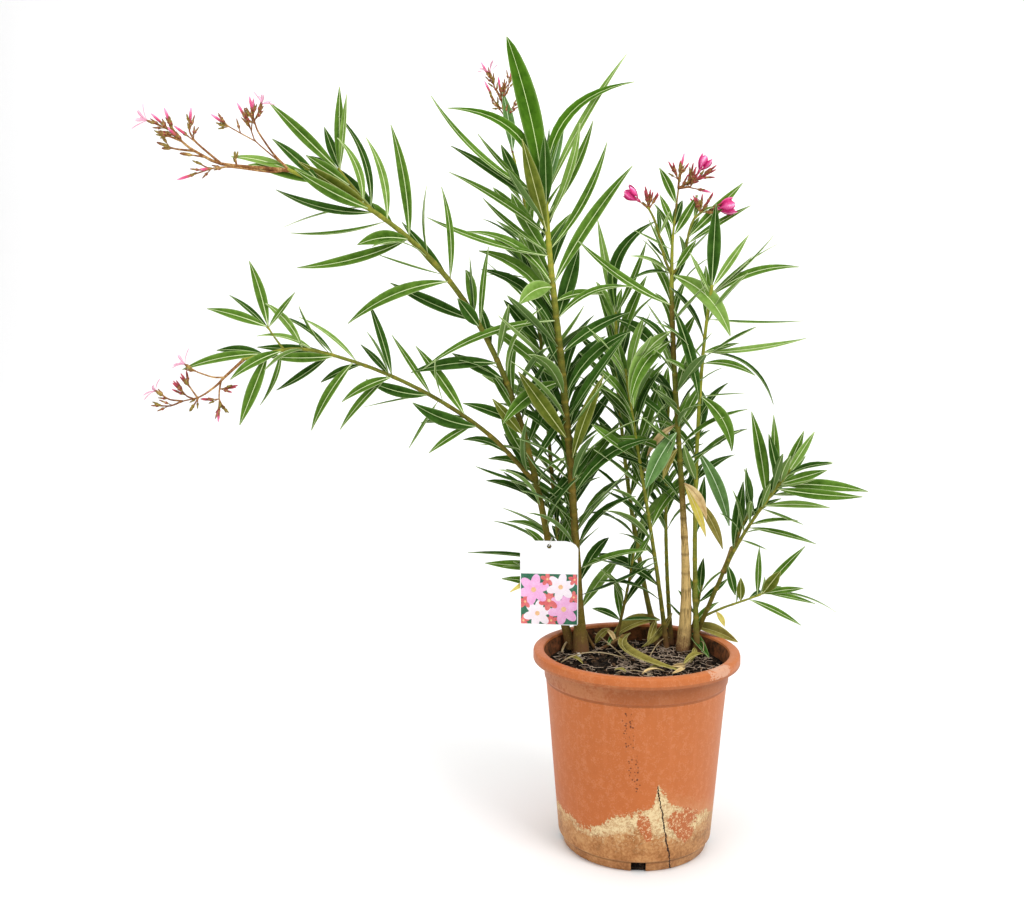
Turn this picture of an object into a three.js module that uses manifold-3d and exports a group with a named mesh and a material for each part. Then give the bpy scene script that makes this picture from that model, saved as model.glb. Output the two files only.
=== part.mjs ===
// A potted oleander: a nursery pot of compost, its stems, their leafy masses and flower trusses.
// Millimetres, +Z up, +X to the right of the front, origin on the floor under the middle of the pot.

import * as THREE from 'three';
import { mergeVertices } from 'three/addons/utils/BufferGeometryUtils.js';
import Module from 'manifold-3d';

const wasm = await Module();
wasm.setup();

// ---------------------------------------------------------------- driving sizes

const CLEARANCE = 0.35;               // air left between neighbours that touch on the real plant

const SMOOTHING = 0.15;               // cut faces are tidied by no more than this

const POT = {
  height: 250,
  footRadius: 91,                     // underside
  ledgeHeight: 15,                    // the foot is stepped in below this
  ledgeRadius: 94,
  bodyRadiusLow: 97,
  bodyRadiusHigh: 114,
  ridgeHeight: 214,                   // a slight step round the body below the rim
  ridgeStep: 1.6,
  rimRadius: 130,
  rimDepth: 13,                       // height of the turned-down lip
  rimRound: 3,
  mouthRadius: 117,
  wall: 2.6,
  base: 4,
  drainWidth: 18,
  drainHeight: 12,
  drainCount: 4,
  drainBearing: -93,                  // the first drain notch is just left of the front
  sides: 32,
};

const SOIL_TOP = 228;

const LABEL = {
  width: 75,
  height: 110,
  thickness: 0.8,
  corner: 16,                         // the top corners are cut to a slope
  bottomCorner: 3,
  holeRadius: 3.2,
  holeDrop: 7,                        // hole centre below the top edge
  turn: -6,                           // degrees about the vertical
  standoff: 22,                       // card in front of its stem's middle
  at: 0.20,                           // where it hangs, along its stem
};

const LOOP = { thickness: 1.4, lift: 6, slack: 0.6, steps: 18, sides: 4 };

// Each limb starts at a foot on the soil, or part of the way up another limb. It lies in the upright
// plane of its bearing: reach is how far it travels outwards there, height how far it climbs. lean is
// its angle from upright at the start and at the tip, pull how long each end holds that lean.
const LIMBS = [
  {
    name: 'stem_tall', foot: [-66, 52], bearing: -152, reach: 57, height: 595,
    lean: [3, 4], pull: [0.6, 0.25], girth: [14, 5.5], flare: 0.7,
  },
  {
    name: 'stem_high_arch', foot: [-78, 66], bearing: -158, reach: 363, height: 604,
    lean: [18, 74], pull: [0.25, 0.47], girth: [10, 4], flare: 0.4,
  },
  {
    name: 'stem_back', foot: [-62, 82], bearing: 153, reach: 106, height: 660,
    lean: [22, 19], pull: [0.25, 0.25], girth: [7.5, 3.2], flare: 0.3,
  },
  {
    name: 'stem_flowering', foot: [70, 58], bearing: -149, reach: 20, height: 602,
    lean: [-7, -13], pull: [0.25, 0.25], girth: [14.5, 4.5], flare: 0.3,
  },
  {
    name: 'stem_right', foot: [86, 44], bearing: -83, reach: 34, height: 476,
    lean: [-14, 30], pull: [0.3, 0.25], girth: [7, 4], flare: 0.2,
  },
  {
    name: 'stem_inner_back', foot: [40, 84], bearing: 135, reach: 79, height: 447,
    lean: [20, 0], pull: [0.28, 0.28], girth: [8, 4], flare: 0.3,
  },
  {
    name: 'stem_inner', foot: [50, 72], bearing: -159, reach: 66, height: 372,
    lean: [8, 10], pull: [0.37, 0.37], girth: [6.5, 3.6], flare: 0.2,
  },
  {
    name: 'stem_rear_right', foot: [58, 84], bearing: 91, reach: 48, height: 326,
    lean: [32, -14], pull: [0.38, 0.39], girth: [6.5, 3.6], flare: 0.2,
  },
  {
    name: 'stem_side', foot: [80, 71], bearing: -49, reach: 150, height: 253,
    lean: [27, 39], pull: [0.5, 0.55], girth: [7, 3.4], flare: 0.2,
  },
  {
    name: 'stem_lowest', foot: [66, 72], bearing: 26, reach: 152, height: 63,
    lean: [28, 76], pull: [0.36, 0.5], girth: [4.4, 2.6], flare: 0.2,
  },
  {
    name: 'stem_basal', foot: [-20, 80], bearing: -52, reach: 36, height: 133,
    lean: [19, 12], pull: [0.38, 0.38], girth: [5, 3], flare: 0.6,
  },
  {
    name: 'bough_low_arch', from: ['stem_high_arch', 0.30], bearing: -163, reach: 367, height: 167,
    lean: [32, 138], pull: [0.36, 0.17], girth: [6.4, 3.6],
  },
  {
    name: 'bough_flowering_left', from: ['stem_flowering', 0.82], bearing: -135, reach: 50, height: 77,
    lean: [55, 50], pull: [0.35, 0.45], girth: [4, 3],
  },
  {
    name: 'bough_flowering_right', from: ['stem_flowering', 0.82], bearing: -9, reach: 36, height: 76,
    lean: [60, 60], pull: [0.37, 0.35], girth: [4, 3],
  },
];

// Leafy masses round a limb. from and to are places along the limb, wide and deep the half widths seen
// from the front and from the side. beyond carries the mass past its limb's tip.
const SLEEVES = {
  stem_tall: [
    { name: 'foliage_tall_low', from: 0.27, to: 0.49, wide: 56, deep: 58 },
    { name: 'foliage_tall_middle', from: 0.51, to: 0.71, wide: 84, deep: 80 },
    { name: 'foliage_tall_upper', from: 0.73, to: 0.915, wide: 105, deep: 92 },
  ],
  stem_high_arch: [
    { name: 'foliage_arch_low', from: 0.33, to: 0.46, wide: 46, deep: 46 },
    { name: 'foliage_arch_middle', from: 0.48, to: 0.64, wide: 60, deep: 46 },
    { name: 'foliage_arch_upper', from: 0.65, to: 0.79, wide: 82, deep: 44 },
    { name: 'foliage_arch_top', from: 0.80, to: 0.92, wide: 90, deep: 42 },
    { name: 'foliage_arch_tip', from: 0.93, to: 0.99, wide: 48, deep: 34, beyond: 26 },
  ],
  bough_low_arch: [
    { name: 'foliage_low_inner', from: 0.12, to: 0.31, wide: 46, deep: 40 },
    { name: 'foliage_low_middle', from: 0.33, to: 0.58, wide: 66, deep: 42 },
    { name: 'foliage_low_outer', from: 0.60, to: 0.79, wide: 74, deep: 42 },
    { name: 'foliage_low_tip', from: 0.81, to: 0.94, wide: 54, deep: 40, beyond: 18 },
  ],
  stem_back: [
    { name: 'foliage_back_low', from: 0.42, to: 0.70, wide: 46, deep: 52 },
    { name: 'foliage_back_top', from: 0.73, to: 0.97, wide: 52, deep: 56 },
  ],
  stem_flowering: [
    { name: 'foliage_flowering_middle', from: 0.44, to: 0.69, wide: 50, deep: 60 },
    { name: 'foliage_flowering_upper', from: 0.70, to: 0.80, wide: 84, deep: 80 },
    { name: 'foliage_flowering_top', from: 0.84, to: 0.97, wide: 72, deep: 66 },
  ],
  stem_right: [
    { name: 'foliage_right_middle', from: 0.52, to: 0.76, wide: 58, deep: 56 },
    { name: 'foliage_right_upper', from: 0.78, to: 1, wide: 60, deep: 56, beyond: 58 },
  ],
  stem_inner_back: [
    { name: 'foliage_inner_back', from: 0.60, to: 1, wide: 46, deep: 56, beyond: 116 },
  ],
  stem_inner: [
    { name: 'foliage_inner', from: 0.66, to: 1, wide: 40, deep: 46, beyond: 40 },
  ],
  stem_rear_right: [
    { name: 'foliage_rear_right', from: 0.56, to: 1, wide: 46, deep: 54, beyond: 52 },
  ],
  stem_side: [
    { name: 'foliage_side_top', from: 0.72, to: 1, wide: 44, deep: 46, beyond: 58 },
  ],
  stem_lowest: [
    { name: 'foliage_lowest', from: 0.60, to: 1, wide: 32, deep: 36, beyond: 104 },
  ],
  stem_basal: [
    { name: 'foliage_basal', from: 0.40, to: 1, wide: 20, deep: 26, beyond: 34 },
  ],
};

// Leafy fans, then flower trusses, that leave a limb on a line of their own: its lean and its bearing.
const FANS = {
  stem_tall: [
    { name: 'foliage_tall_crown', at: 0.93, lean: 11, bearing: 184, length: 236, wide: 46, deep: 66 },
    { name: 'foliage_tall_left', at: 0.925, lean: 40, bearing: 190, length: 218, wide: 30, deep: 40 },
    { name: 'foliage_tall_right', at: 0.925, lean: 25, bearing: -4, length: 232, wide: 34, deep: 44 },
    { name: 'foliage_tall_side', at: 0.90, lean: 52, bearing: 5, length: 152, wide: 26, deep: 44 },
  ],
  stem_high_arch: [
    { name: 'foliage_arch_plume', at: 0.925, lean: 4, bearing: 150, length: 132, wide: 22, deep: 30 },
    { name: 'foliage_low_left', at: 0.17, lean: 84, bearing: 152, length: 116, wide: 15, deep: 24 },
  ],
  bough_low_arch: [
    { name: 'foliage_low_plume', at: 0.87, lean: 12, bearing: 180, length: 116, wide: 36, deep: 34 },
  ],
  stem_right: [
    { name: 'foliage_right_fan', at: 0.97, lean: 98, bearing: -10, length: 122, wide: 28, deep: 42 },
  ],
  stem_side: [
    { name: 'foliage_side_right', at: 0.97, lean: 96, bearing: -2, length: 112, wide: 26, deep: 40 },
  ],
};

const TRUSSES = {
  stem_high_arch: [
    { name: 'truss_high_outer', at: 1, lean: 76, bearing: 186, length: 172, wide: 27, deep: 24 },
    { name: 'truss_high_inner', at: 0.97, lean: 32, bearing: 186, length: 96, wide: 19, deep: 18 },
  ],
  bough_low_arch: [
    { name: 'truss_low', at: 1, lean: 109, bearing: 189, length: 122, wide: 30, deep: 24 },
  ],
  stem_back: [
    { name: 'truss_back', at: 1, lean: 12, bearing: 182, length: 112, wide: 20, deep: 20 },
  ],
  stem_flowering: [
    { name: 'truss_middle', at: 1, lean: 22, bearing: 10, length: 54, wide: 25, deep: 25 },
  ],
  bough_flowering_left: [
    { name: 'truss_left', at: 1, lean: 46, bearing: 188, length: 34, wide: 11, deep: 11 },
  ],
  bough_flowering_right: [
    { name: 'truss_right', at: 1, lean: 66, bearing: -6, length: 44, wide: 13, deep: 13 },
  ],
};

// ---------------------------------------------------------------- finishes

function finish(color, roughness, metalness = 0) {
  return new THREE.MeshStandardMaterial({ color, roughness, metalness });
}

const FINISHES = {
  pot: finish(0xc46e42, 0.55),
  compost: finish(0x2b211a, 1),
  bark: finish(0x8c7a45, 0.8),
  foliage: finish(0x467a2c, 0.5),
  blossom: finish(0xe58fb4, 0.6),
  card: finish(0xf4f2ee, 0.4),
  loop: finish(0xf4f4f4, 0.35),
};

// ---------------------------------------------------------------- solids

const UP = new THREE.Vector3(0, 0, 1);
const BACK = new THREE.Vector3(0, 1, 0);

// A closed three.js geometry as a manifold solid: corners joined, triangles with no area dropped.
function toSolid(geometry) {
  const bare = geometry.clone();
  bare.deleteAttribute('normal');
  bare.deleteAttribute('uv');
  const joined = mergeVertices(bare, 1e-4);
  const corners = joined.index.array;
  const kept = [];
  for (let i = 0; i < corners.length; i += 3) {
    const [a, b, c] = [corners[i], corners[i + 1], corners[i + 2]];
    if (a !== b && b !== c && c !== a) kept.push(a, b, c);
  }
  return new wasm.Manifold(new wasm.Mesh({
    numProp: 3,
    vertProperties: new Float32Array(joined.attributes.position.array),
    triVerts: new Uint32Array(kept),
  }));
}

function toGeometry(solid) {
  const mesh = solid.getMesh();
  const geometry = new THREE.BufferGeometry();
  geometry.setAttribute('position', new THREE.BufferAttribute(new Float32Array(mesh.vertProperties), 3));
  geometry.setIndex(new THREE.BufferAttribute(new Uint32Array(mesh.triVerts), 1));
  geometry.computeVertexNormals();
  return geometry;
}

function largestPiece(solid) {
  return solid.decompose().reduce((best, piece) => (piece.volume() > best.volume() ? piece : best));
}

// A direction from its lean off upright and its bearing, in degrees anticlockwise from +X.
function direction(lean, bearing) {
  const [tilt, turn] = [THREE.MathUtils.degToRad(lean), THREE.MathUtils.degToRad(bearing)];
  return new THREE.Vector3(
    Math.sin(tilt) * Math.cos(turn),
    Math.sin(tilt) * Math.sin(turn),
    Math.cos(tilt),
  );
}

// ---------------------------------------------------------------- limbs

const limbs = new Map();

function spineOf({ foot, from, bearing, reach, height, lean, pull }) {
  const start = from
    ? limbs.get(from[0]).spine.getPointAt(from[1])
    : new THREE.Vector3(foot[0], foot[1], SOIL_TOP + CLEARANCE);
  const end = start.clone().addScaledVector(direction(90, bearing), reach).addScaledVector(UP, height);
  const handle = Math.hypot(reach, height);
  const leaving = start.clone().addScaledVector(direction(lean[0], bearing), pull[0] * handle);
  const arriving = end.clone().addScaledVector(direction(lean[1], bearing), -pull[1] * handle);
  return new THREE.CubicBezierCurve3(start, leaving, arriving, end);
}

// Half the limb's thickness at a place along it, with the swelling of its foot.
function radiusAt({ girth, flare = 0 }, place) {
  return 0.5 * THREE.MathUtils.lerp(girth[0], girth[1], place) * (1 + flare * Math.exp(-28 * place));
}

// Where a side limb clears the limb that bears it: its first ring stands just off the parent's side.
function clearStart(limb, spine) {
  if (!limb.from) return 0;
  const parent = limbs.get(limb.from[0]);
  const own = radiusAt(limb, 0);
  for (let place = 0; place < 0.3; place += 0.002) {
    const centre = spine.getPointAt(place);
    const heading = spine.getTangentAt(place);
    let nearest = Infinity;
    for (let i = 0; i <= 200; i += 1) {
      const along = Math.min(1, Math.max(0, limb.from[1] + (i - 100) * 0.0012));
      const away = parent.spine.getPointAt(along).sub(centre);
      const lift = away.dot(heading);
      const flat = Math.sqrt(Math.max(0, away.lengthSq() - lift * lift));
      const gap = Math.hypot(lift, Math.max(0, flat - own)) - radiusAt(parent.limb, along);
      nearest = Math.min(nearest, gap);
    }
    if (nearest > CLEARANCE) return place;
  }
  return 0.3;
}

// A tapering round limb: a cylinder's rings laid along the spine. The foot is cut level on the soil.
function limbGeometry(limb, spine, begin, extra = 0) {
  const steps = Math.max(6, Math.round(spine.getLength() / 70));
  const geometry = new THREE.CylinderGeometry(1, 1, 1, limb.girth[0] > 9 ? 6 : 5, steps);
  const points = geometry.attributes.position;
  for (let i = 0; i < points.count; i += 1) {
    const share = points.getY(i) + 0.5;
    const place = begin + (1 - begin) * share;
    const heading = spine.getTangentAt(place);
    const across = limb.foot && share === 0
      ? new THREE.Vector3(1, 0, 0)
      : new THREE.Vector3().crossVectors(BACK, heading).normalize();
    const behind = limb.foot && share === 0
      ? BACK.clone()
      : new THREE.Vector3().crossVectors(heading, across);
    const radius = radiusAt(limb, place) + extra;
    const spot = spine.getPointAt(place)
      .addScaledVector(across, points.getZ(i) * radius)
      .addScaledVector(behind, points.getX(i) * radius)
      .addScaledVector(heading, extra * (share === 1 ? 1 : share === 0 ? -1 : 0));
    points.setXYZ(i, spot.x, spot.y, spot.z);
  }
  return geometry;
}

for (const limb of LIMBS) {
  const spine = spineOf(limb);
  const begin = clearStart(limb, spine);
  limbs.set(limb.name, {
    limb,
    spine,
    solid: toSolid(limbGeometry(limb, spine, begin)),
    passage: toSolid(limbGeometry(limb, spine, begin, CLEARANCE)),
  });
}

// ---------------------------------------------------------------- masses

// An uneven closed mass: a sphere drawn out along a spine, with lumps of its own.
function massGeometry(spine, { wide, deep }, seed, extra = 0) {
  const geometry = new THREE.SphereGeometry(1, 7, 5);
  const points = geometry.attributes.position;
  for (let i = 0; i < points.count; i += 1) {
    const height = points.getY(i);
    const share = THREE.MathUtils.clamp((height + 1) / 2, 0, 1);
    const heading = spine.getTangentAt(share);
    const sideways = new THREE.Vector3().crossVectors(BACK, heading).normalize();
    const behind = new THREE.Vector3().crossVectors(heading, sideways);
    const turn = Math.atan2(points.getX(i), points.getZ(i));
    const lump = 1
      + 0.13 * Math.sin(2 * turn + 1.9 * seed)
      + 0.11 * Math.cos(3 * turn + 5 * share + seed);
    const spot = spine.getPointAt(share)
      .addScaledVector(sideways, points.getZ(i) * (wide * lump + extra))
      .addScaledVector(behind, points.getX(i) * (deep * lump + extra))
      .addScaledVector(heading, extra * height);
    points.setXYZ(i, spot.x, spot.y, spot.z);
  }
  return geometry;
}

function sleeveSpine(limb, { from, to, beyond = 0 }) {
  const { spine } = limbs.get(limb);
  const stations = [from, (from + to) / 2, to].map((place) => spine.getPointAt(place));
  if (beyond > 0) {
    stations.push(stations[2].clone().addScaledVector(spine.getTangentAt(to), beyond));
  }
  return new THREE.CatmullRomCurve3(stations);
}

function fanSpine(limb, { at, lean, bearing, length }) {
  const { spine } = limbs.get(limb);
  const start = spine.getPointAt(at);
  const end = start.clone().addScaledVector(direction(lean, bearing), length);
  return new THREE.LineCurve3(start, end);
}

const masses = [];

// Each mass gives way to every limb, and to the masses made before it.
function addMass(row, spine, material) {
  const seed = masses.length + 1;
  let solid = toSolid(massGeometry(spine, row, seed));
  for (const { passage } of limbs.values()) solid = solid.subtract(passage);
  for (const { grown } of masses) solid = solid.subtract(grown);
  masses.push({
    name: row.name,
    material,
    solid: largestPiece(solid).simplify(SMOOTHING),
    grown: toSolid(massGeometry(spine, row, seed, CLEARANCE)),
  });
}

function addMasses(table, spineFor, material) {
  for (const [limb, rows] of Object.entries(table)) {
    for (const row of rows) addMass(row, spineFor(limb, row), material);
  }
}

addMasses(SLEEVES, sleeveSpine, FINISHES.foliage);
addMasses(FANS, fanSpine, FINISHES.foliage);
addMasses(TRUSSES, fanSpine, FINISHES.blossom);

// ---------------------------------------------------------------- pot, compost, label

function lathe(outline, sides) {
  const profile = outline.map(([radius, height]) => new THREE.Vector2(radius, height));
  return new THREE.LatheGeometry(profile, sides).rotateX(Math.PI / 2);
}

function potSolid() {
  const { height, wall, base, rimRadius, rimDepth, rimRound, mouthRadius, ridgeHeight, ridgeStep } = POT;
  const lipBottom = height - rimDepth;
  const shell = toSolid(lathe([
    [0, 0],
    [POT.footRadius, 0],
    [POT.ledgeRadius, POT.ledgeHeight - 2],
    [POT.bodyRadiusLow, POT.ledgeHeight],
    [POT.bodyRadiusHigh, ridgeHeight],
    [POT.bodyRadiusHigh + ridgeStep, ridgeHeight + 2],
    [mouthRadius, height - wall - 1],
    [rimRadius - wall, height - wall],
    [rimRadius - wall, lipBottom],
    [rimRadius, lipBottom],
    [rimRadius, height - rimRound],
    [rimRadius - rimRound, height],
    [mouthRadius + 1, height],
    [mouthRadius - 1, height - 2],
    [POT.bodyRadiusHigh + ridgeStep - wall, ridgeHeight],
    [POT.bodyRadiusHigh - wall, ridgeHeight - 2],
    [POT.footRadius - wall + 1, base],
    [0, base],
  ], POT.sides));
  const notch = toSolid(new THREE.BoxGeometry(30, POT.drainWidth, 2 * POT.drainHeight));
  let pot = shell;
  for (let i = 0; i < POT.drainCount; i += 1) {
    const bearing = POT.drainBearing + (360 / POT.drainCount) * i;
    pot = pot.subtract(notch.translate([POT.footRadius, 0, 0]).rotate([0, 0, bearing]));
  }
  return pot;
}

// Compost fills the pot to its top and stands back from the drain notches.
function compostSolid() {
  const { wall, base, ridgeHeight, ridgeStep } = POT;
  const slope = (POT.bodyRadiusHigh - POT.footRadius - 1) / (ridgeHeight - 2 - base);
  const low = POT.footRadius - wall + 1 - CLEARANCE;
  return toSolid(lathe([
    [0, base + CLEARANCE],
    [POT.footRadius - 16, base + CLEARANCE],
    [POT.footRadius - 16, POT.drainHeight + CLEARANCE],
    [low + slope * (POT.drainHeight - base), POT.drainHeight + CLEARANCE],
    [POT.bodyRadiusHigh - wall - CLEARANCE, ridgeHeight - 2],
    [POT.bodyRadiusHigh + ridgeStep - wall - CLEARANCE, ridgeHeight + 1],
    [POT.bodyRadiusHigh + ridgeStep - wall - CLEARANCE, SOIL_TOP],
    [0, SOIL_TOP],
  ], POT.sides));
}

// The card faces the front. Its frame has the hole at the origin, so it hangs from there.
function cardGeometry() {
  const { width, height, thickness, corner, bottomCorner, holeRadius, holeDrop } = LABEL;
  const [left, right, top, bottom] = [-width / 2, width / 2, holeDrop, holeDrop - height];
  const outline = new THREE.Shape();
  outline.moveTo(left + bottomCorner, bottom);
  outline.lineTo(right - bottomCorner, bottom);
  outline.quadraticCurveTo(right, bottom, right, bottom + bottomCorner);
  outline.lineTo(right, top - corner * 0.6);
  outline.quadraticCurveTo(right - corner * 0.2, top - 1, right - corner, top);
  outline.lineTo(left + corner, top);
  outline.quadraticCurveTo(left + corner * 0.2, top - 1, left, top - corner * 0.6);
  outline.lineTo(left, bottom + bottomCorner);
  outline.quadraticCurveTo(left, bottom, left + bottomCorner, bottom);
  outline.holes.push(new THREE.Path().absarc(0, 0, holeRadius, 0, 2 * Math.PI, true));
  const card = new THREE.ExtrudeGeometry(outline, {
    depth: thickness,
    bevelEnabled: false,
    curveSegments: 3,
  });
  return card.translate(0, 0, -thickness / 2).rotateX(Math.PI / 2);
}

// The loop runs from the front of the card over its top edge, round the back of the stem square to it,
// then down through the hole.
function loopGeometry(hole) {
  const { thickness, lift, slack, steps, sides } = LOOP;
  const { limb, spine } = limbs.get('stem_high_arch');
  const height = LABEL.at + lift / spine.getLength();
  const stem = spine.getPointAt(height);
  const heading = spine.getTangentAt(height);
  const right = new THREE.Vector3().crossVectors(BACK, heading).normalize();
  const behind = new THREE.Vector3().crossVectors(heading, right);
  const out = radiusAt(limb, height) + thickness / 2 + slack;
  const round = (across, deep) => stem.clone()
    .addScaledVector(right, across * out)
    .addScaledVector(behind, deep * out)
    .toArray();
  const front = hole.y - 2.4;
  const stations = [
    [hole.x, front, hole.z + 1],
    [hole.x + 2, front - 0.4, hole.z + lift],
    [hole.x + 2.4, hole.y + 1, hole.z + LABEL.holeDrop + 2.6],
    round(1, -1.2),
    round(1, 0.5),
    round(0, 1.15),
    round(-1, 0.5),
    round(-1, -1.2),
    [hole.x - 1, hole.y + 2.6, hole.z - 0.2],
  ].map((spot) => new THREE.Vector3(...spot));
  const route = new THREE.CatmullRomCurve3(stations, true);
  const geometry = new THREE.TorusGeometry(1, 0.5, sides, steps);
  const points = geometry.attributes.position;
  const frames = route.computeFrenetFrames(steps, true);
  for (let ring = 0; ring <= sides; ring += 1) {
    for (let step = 0; step <= steps; step += 1) {
      const i = ring * (steps + 1) + step;
      const turn = (2 * Math.PI * ring) / sides;
      const spot = route.getPointAt((step % steps) / steps)
        .addScaledVector(frames.normals[step % steps], Math.cos(turn) * thickness / 2)
        .addScaledVector(frames.binormals[step % steps], -Math.sin(turn) * thickness / 2);
      points.setXYZ(i, spot.x, spot.y, spot.z);
    }
  }
  return geometry;
}

// ---------------------------------------------------------------- the assembly

const oleander = new THREE.Group();

function place(name, solid, material) {
  const mesh = new THREE.Mesh(toGeometry(solid), material);
  mesh.name = name;
  oleander.add(mesh);
  return mesh;
}

place('pot', potSolid(), FINISHES.pot);
place('compost', compostSolid(), FINISHES.compost);
for (const [name, { solid }] of limbs) place(name, solid, FINISHES.bark);
for (const { name, solid, material } of masses) place(name, solid, material);

const hole = limbs.get('stem_high_arch').spine.getPointAt(LABEL.at)
  .addScaledVector(BACK, -LABEL.standoff);
const card = place('label_card', toSolid(cardGeometry()), FINISHES.card);
card.position.copy(hole);
card.rotation.z = THREE.MathUtils.degToRad(LABEL.turn);
place('label_loop', toSolid(loopGeometry(hole)), FINISHES.loop);

export default oleander;
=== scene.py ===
import math
import random
from collections import namedtuple

import bmesh
import bpy
from mathutils import Matrix, Vector, noise
from mathutils.bvhtree import BVHTree


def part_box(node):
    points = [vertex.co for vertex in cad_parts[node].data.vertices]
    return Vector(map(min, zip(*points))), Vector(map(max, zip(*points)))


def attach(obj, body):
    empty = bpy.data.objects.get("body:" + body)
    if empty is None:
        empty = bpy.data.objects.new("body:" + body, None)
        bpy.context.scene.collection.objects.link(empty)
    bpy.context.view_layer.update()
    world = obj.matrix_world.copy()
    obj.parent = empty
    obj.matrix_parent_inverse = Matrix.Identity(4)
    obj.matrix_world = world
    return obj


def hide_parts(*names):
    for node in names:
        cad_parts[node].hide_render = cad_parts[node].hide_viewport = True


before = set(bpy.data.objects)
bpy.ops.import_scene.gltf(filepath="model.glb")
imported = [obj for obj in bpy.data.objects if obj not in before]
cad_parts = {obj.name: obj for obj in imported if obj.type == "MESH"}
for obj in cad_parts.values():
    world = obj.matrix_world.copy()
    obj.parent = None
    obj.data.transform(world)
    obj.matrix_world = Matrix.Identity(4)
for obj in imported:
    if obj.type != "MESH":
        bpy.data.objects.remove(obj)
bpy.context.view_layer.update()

# A potted oleander with arching flower stems. Metres, +Z up, the front faces -Y.

UP = Vector((0, 0, 1))
FRONT = Vector((0, -1, 0))
MM = 0.001

# -------------------- camera and room

EYE = Vector((-0.157, -1.318, 0.631))
EYE_DOWN = math.radians(5.6)
EYE_LENS = 37.4
FLOOR_HALF = 5.0
FLOOR_NEAR = -4.0                     # where the floor starts, how far it runs in all, and where it turns up
FLOOR_RUN = 11.0
WALL_AT = 3.0
FLOOR_CURVE = 1.6
FLOOR_SINK = 0.5 * MM
FLOOR_ROWS = 40
FLOOR_COLOUR = (0.93, 0.93, 0.93)

# -------------------- pot and compost

POT_PROFILE = (                       # radius and height in millimetres, out along the underside, then round
    (0.0, 0.0), (89.5, 0.0), (91.0, 1.5), (93.6, 12.4), (94.2, 13.4), (96.0, 13.9), (97.0, 15.2),
    (99.2, 41.0), (101.3, 66.0), (105.6, 118.0), (109.6, 166.0), (113.6, 209.0), (114.0, 213.2),
    (115.3, 214.6), (115.7, 216.4), (116.0, 228.0), (117.6, 242.4), (120.0, 245.6), (126.6, 246.6),
    (127.4, 245.4), (127.4, 238.0), (128.2, 237.0), (129.4, 237.0), (130.0, 238.0), (130.0, 246.0),
    (129.3, 248.4), (127.4, 249.7), (124.0, 250.0), (118.8, 249.8), (117.0, 248.8), (116.2, 246.4),
    (113.3, 226.0), (113.0, 214.6), (111.4, 211.6), (100.0, 76.0), (90.0, 6.0), (88.0, 4.0), (0.0, 4.0),
)
POT_STEPS = 120
DRAIN_COUNT = 4
DRAIN_BEARING = math.radians(-93)
DRAIN_SIZE = Vector((30, 18, 24)) * MM
DRAIN_OUT = 91 * MM

COLLAR = (214.5, 240.5)               # bands of the pot's finish, in millimetres of height
# painted shadow: the band just under the collar's overhanging ledge
LEDGE_SHADE = (210.5, 214.2)
FOOT_RING = (10.5, 13.8)
SPECK_RUN = (105.0, 212.0)
SPECK_REACH = 6.5                     # half the width of the line of specks
CRACK_TOP = 112.0
CRACK_REACH = 0.8
RIM_FROM = 240.0
RIM_SCUFF = ((92, -88), (19, 15))     # middle and half widths of an oval, seen from above

STAIN_HALF = 100                      # the tide line's points: place across from the middle, and height
STAIN_TOP = 150
STAIN_UPPER = (
    (-96, 56), (-90, 54), (-78, 50), (-64, 46), (-50, 61), (-30, 73), (-5, 80), (9, 85), (13, 96), (16, 116),
    (19, 112), (25, 104), (31, 90), (46, 79), (65, 69), (95, 56),
)
STAIN_LOWER = (
    (-96, 45), (-78, 40), (-62, 34), (-38, 42), (-12, 52), (2, 56), (10, 46), (30, 42), (48, 34), (66, 42),
    (95, 52),
)
BARE_PLACES = (((0, 64), (8, 14)), ((48, 64), (19, 15)), ((52, 48), (11, 13)), ((5, 52), (5, 13)))

SOIL_TOP = 228 * MM
SOIL_RADIUS = 112.6 * MM
SOIL_SIDE = ((0.0, 14.0), (86.0, 14.0), (109.0, 209.0), (111.4, 214.0))
PLUG_SIZE = Vector((13, 17.6, 10.5)) * MM
PLUG_MIDDLE = Vector((82, 0, 6.3)) * MM
SOIL_RINGS = 44
SOIL_STEPS = 150
CLODS = 900
FIBRES = 330

# -------------------- limbs and their bark

BARK_SIDES = 12
BARK_STEP = 3.2 * MM
NODE_SWELL = 0.45 * MM

# A limb's bark goes from woody (0) to green (1): its age at the foot and at the tip, and how late it turns.
BARK_AGE = {
    "stem_tall": (0.44, 1.24, 3.0),
    "stem_high_arch": (0.42, 0.96, 1.4),
    "bough_low_arch": (0.48, 0.92, 1.0),
    "stem_back": (0.20, 0.98, 1.0),
    "stem_flowering": (0.00, 1.16, 1.25),
    "stem_right": (0.34, 1.12, 0.35),
    "stem_inner_back": (0.20, 0.96, 0.32),
    "stem_inner": (0.22, 0.98, 0.30),
    "stem_rear_right": (0.22, 0.98, 0.28),
    "stem_side": (0.40, 0.92, 0.8),
    "stem_lowest": (0.60, 0.94, 1.0),
    "stem_basal": (0.22, 0.84, 0.8),
    "bough_flowering_left": (0.74, 0.84, 1.0),
    "bough_flowering_right": (0.74, 0.84, 1.0),
}
# Where a limb's age does not run evenly from foot to tip, it is read off these knots instead.
AGE_KNOTS = {
    "stem_flowering": (
        (0.0, 0.14), (0.05, 0.04), (0.22, 0.08), (0.33, 0.32), (0.40, 0.68), (0.62, 0.72),
        (0.66, 0.45), (0.74, 0.45), (0.79, 0.96), (0.925, 1.0), (0.95, 0.40), (1.0, 0.34),
    ),
}
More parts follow.
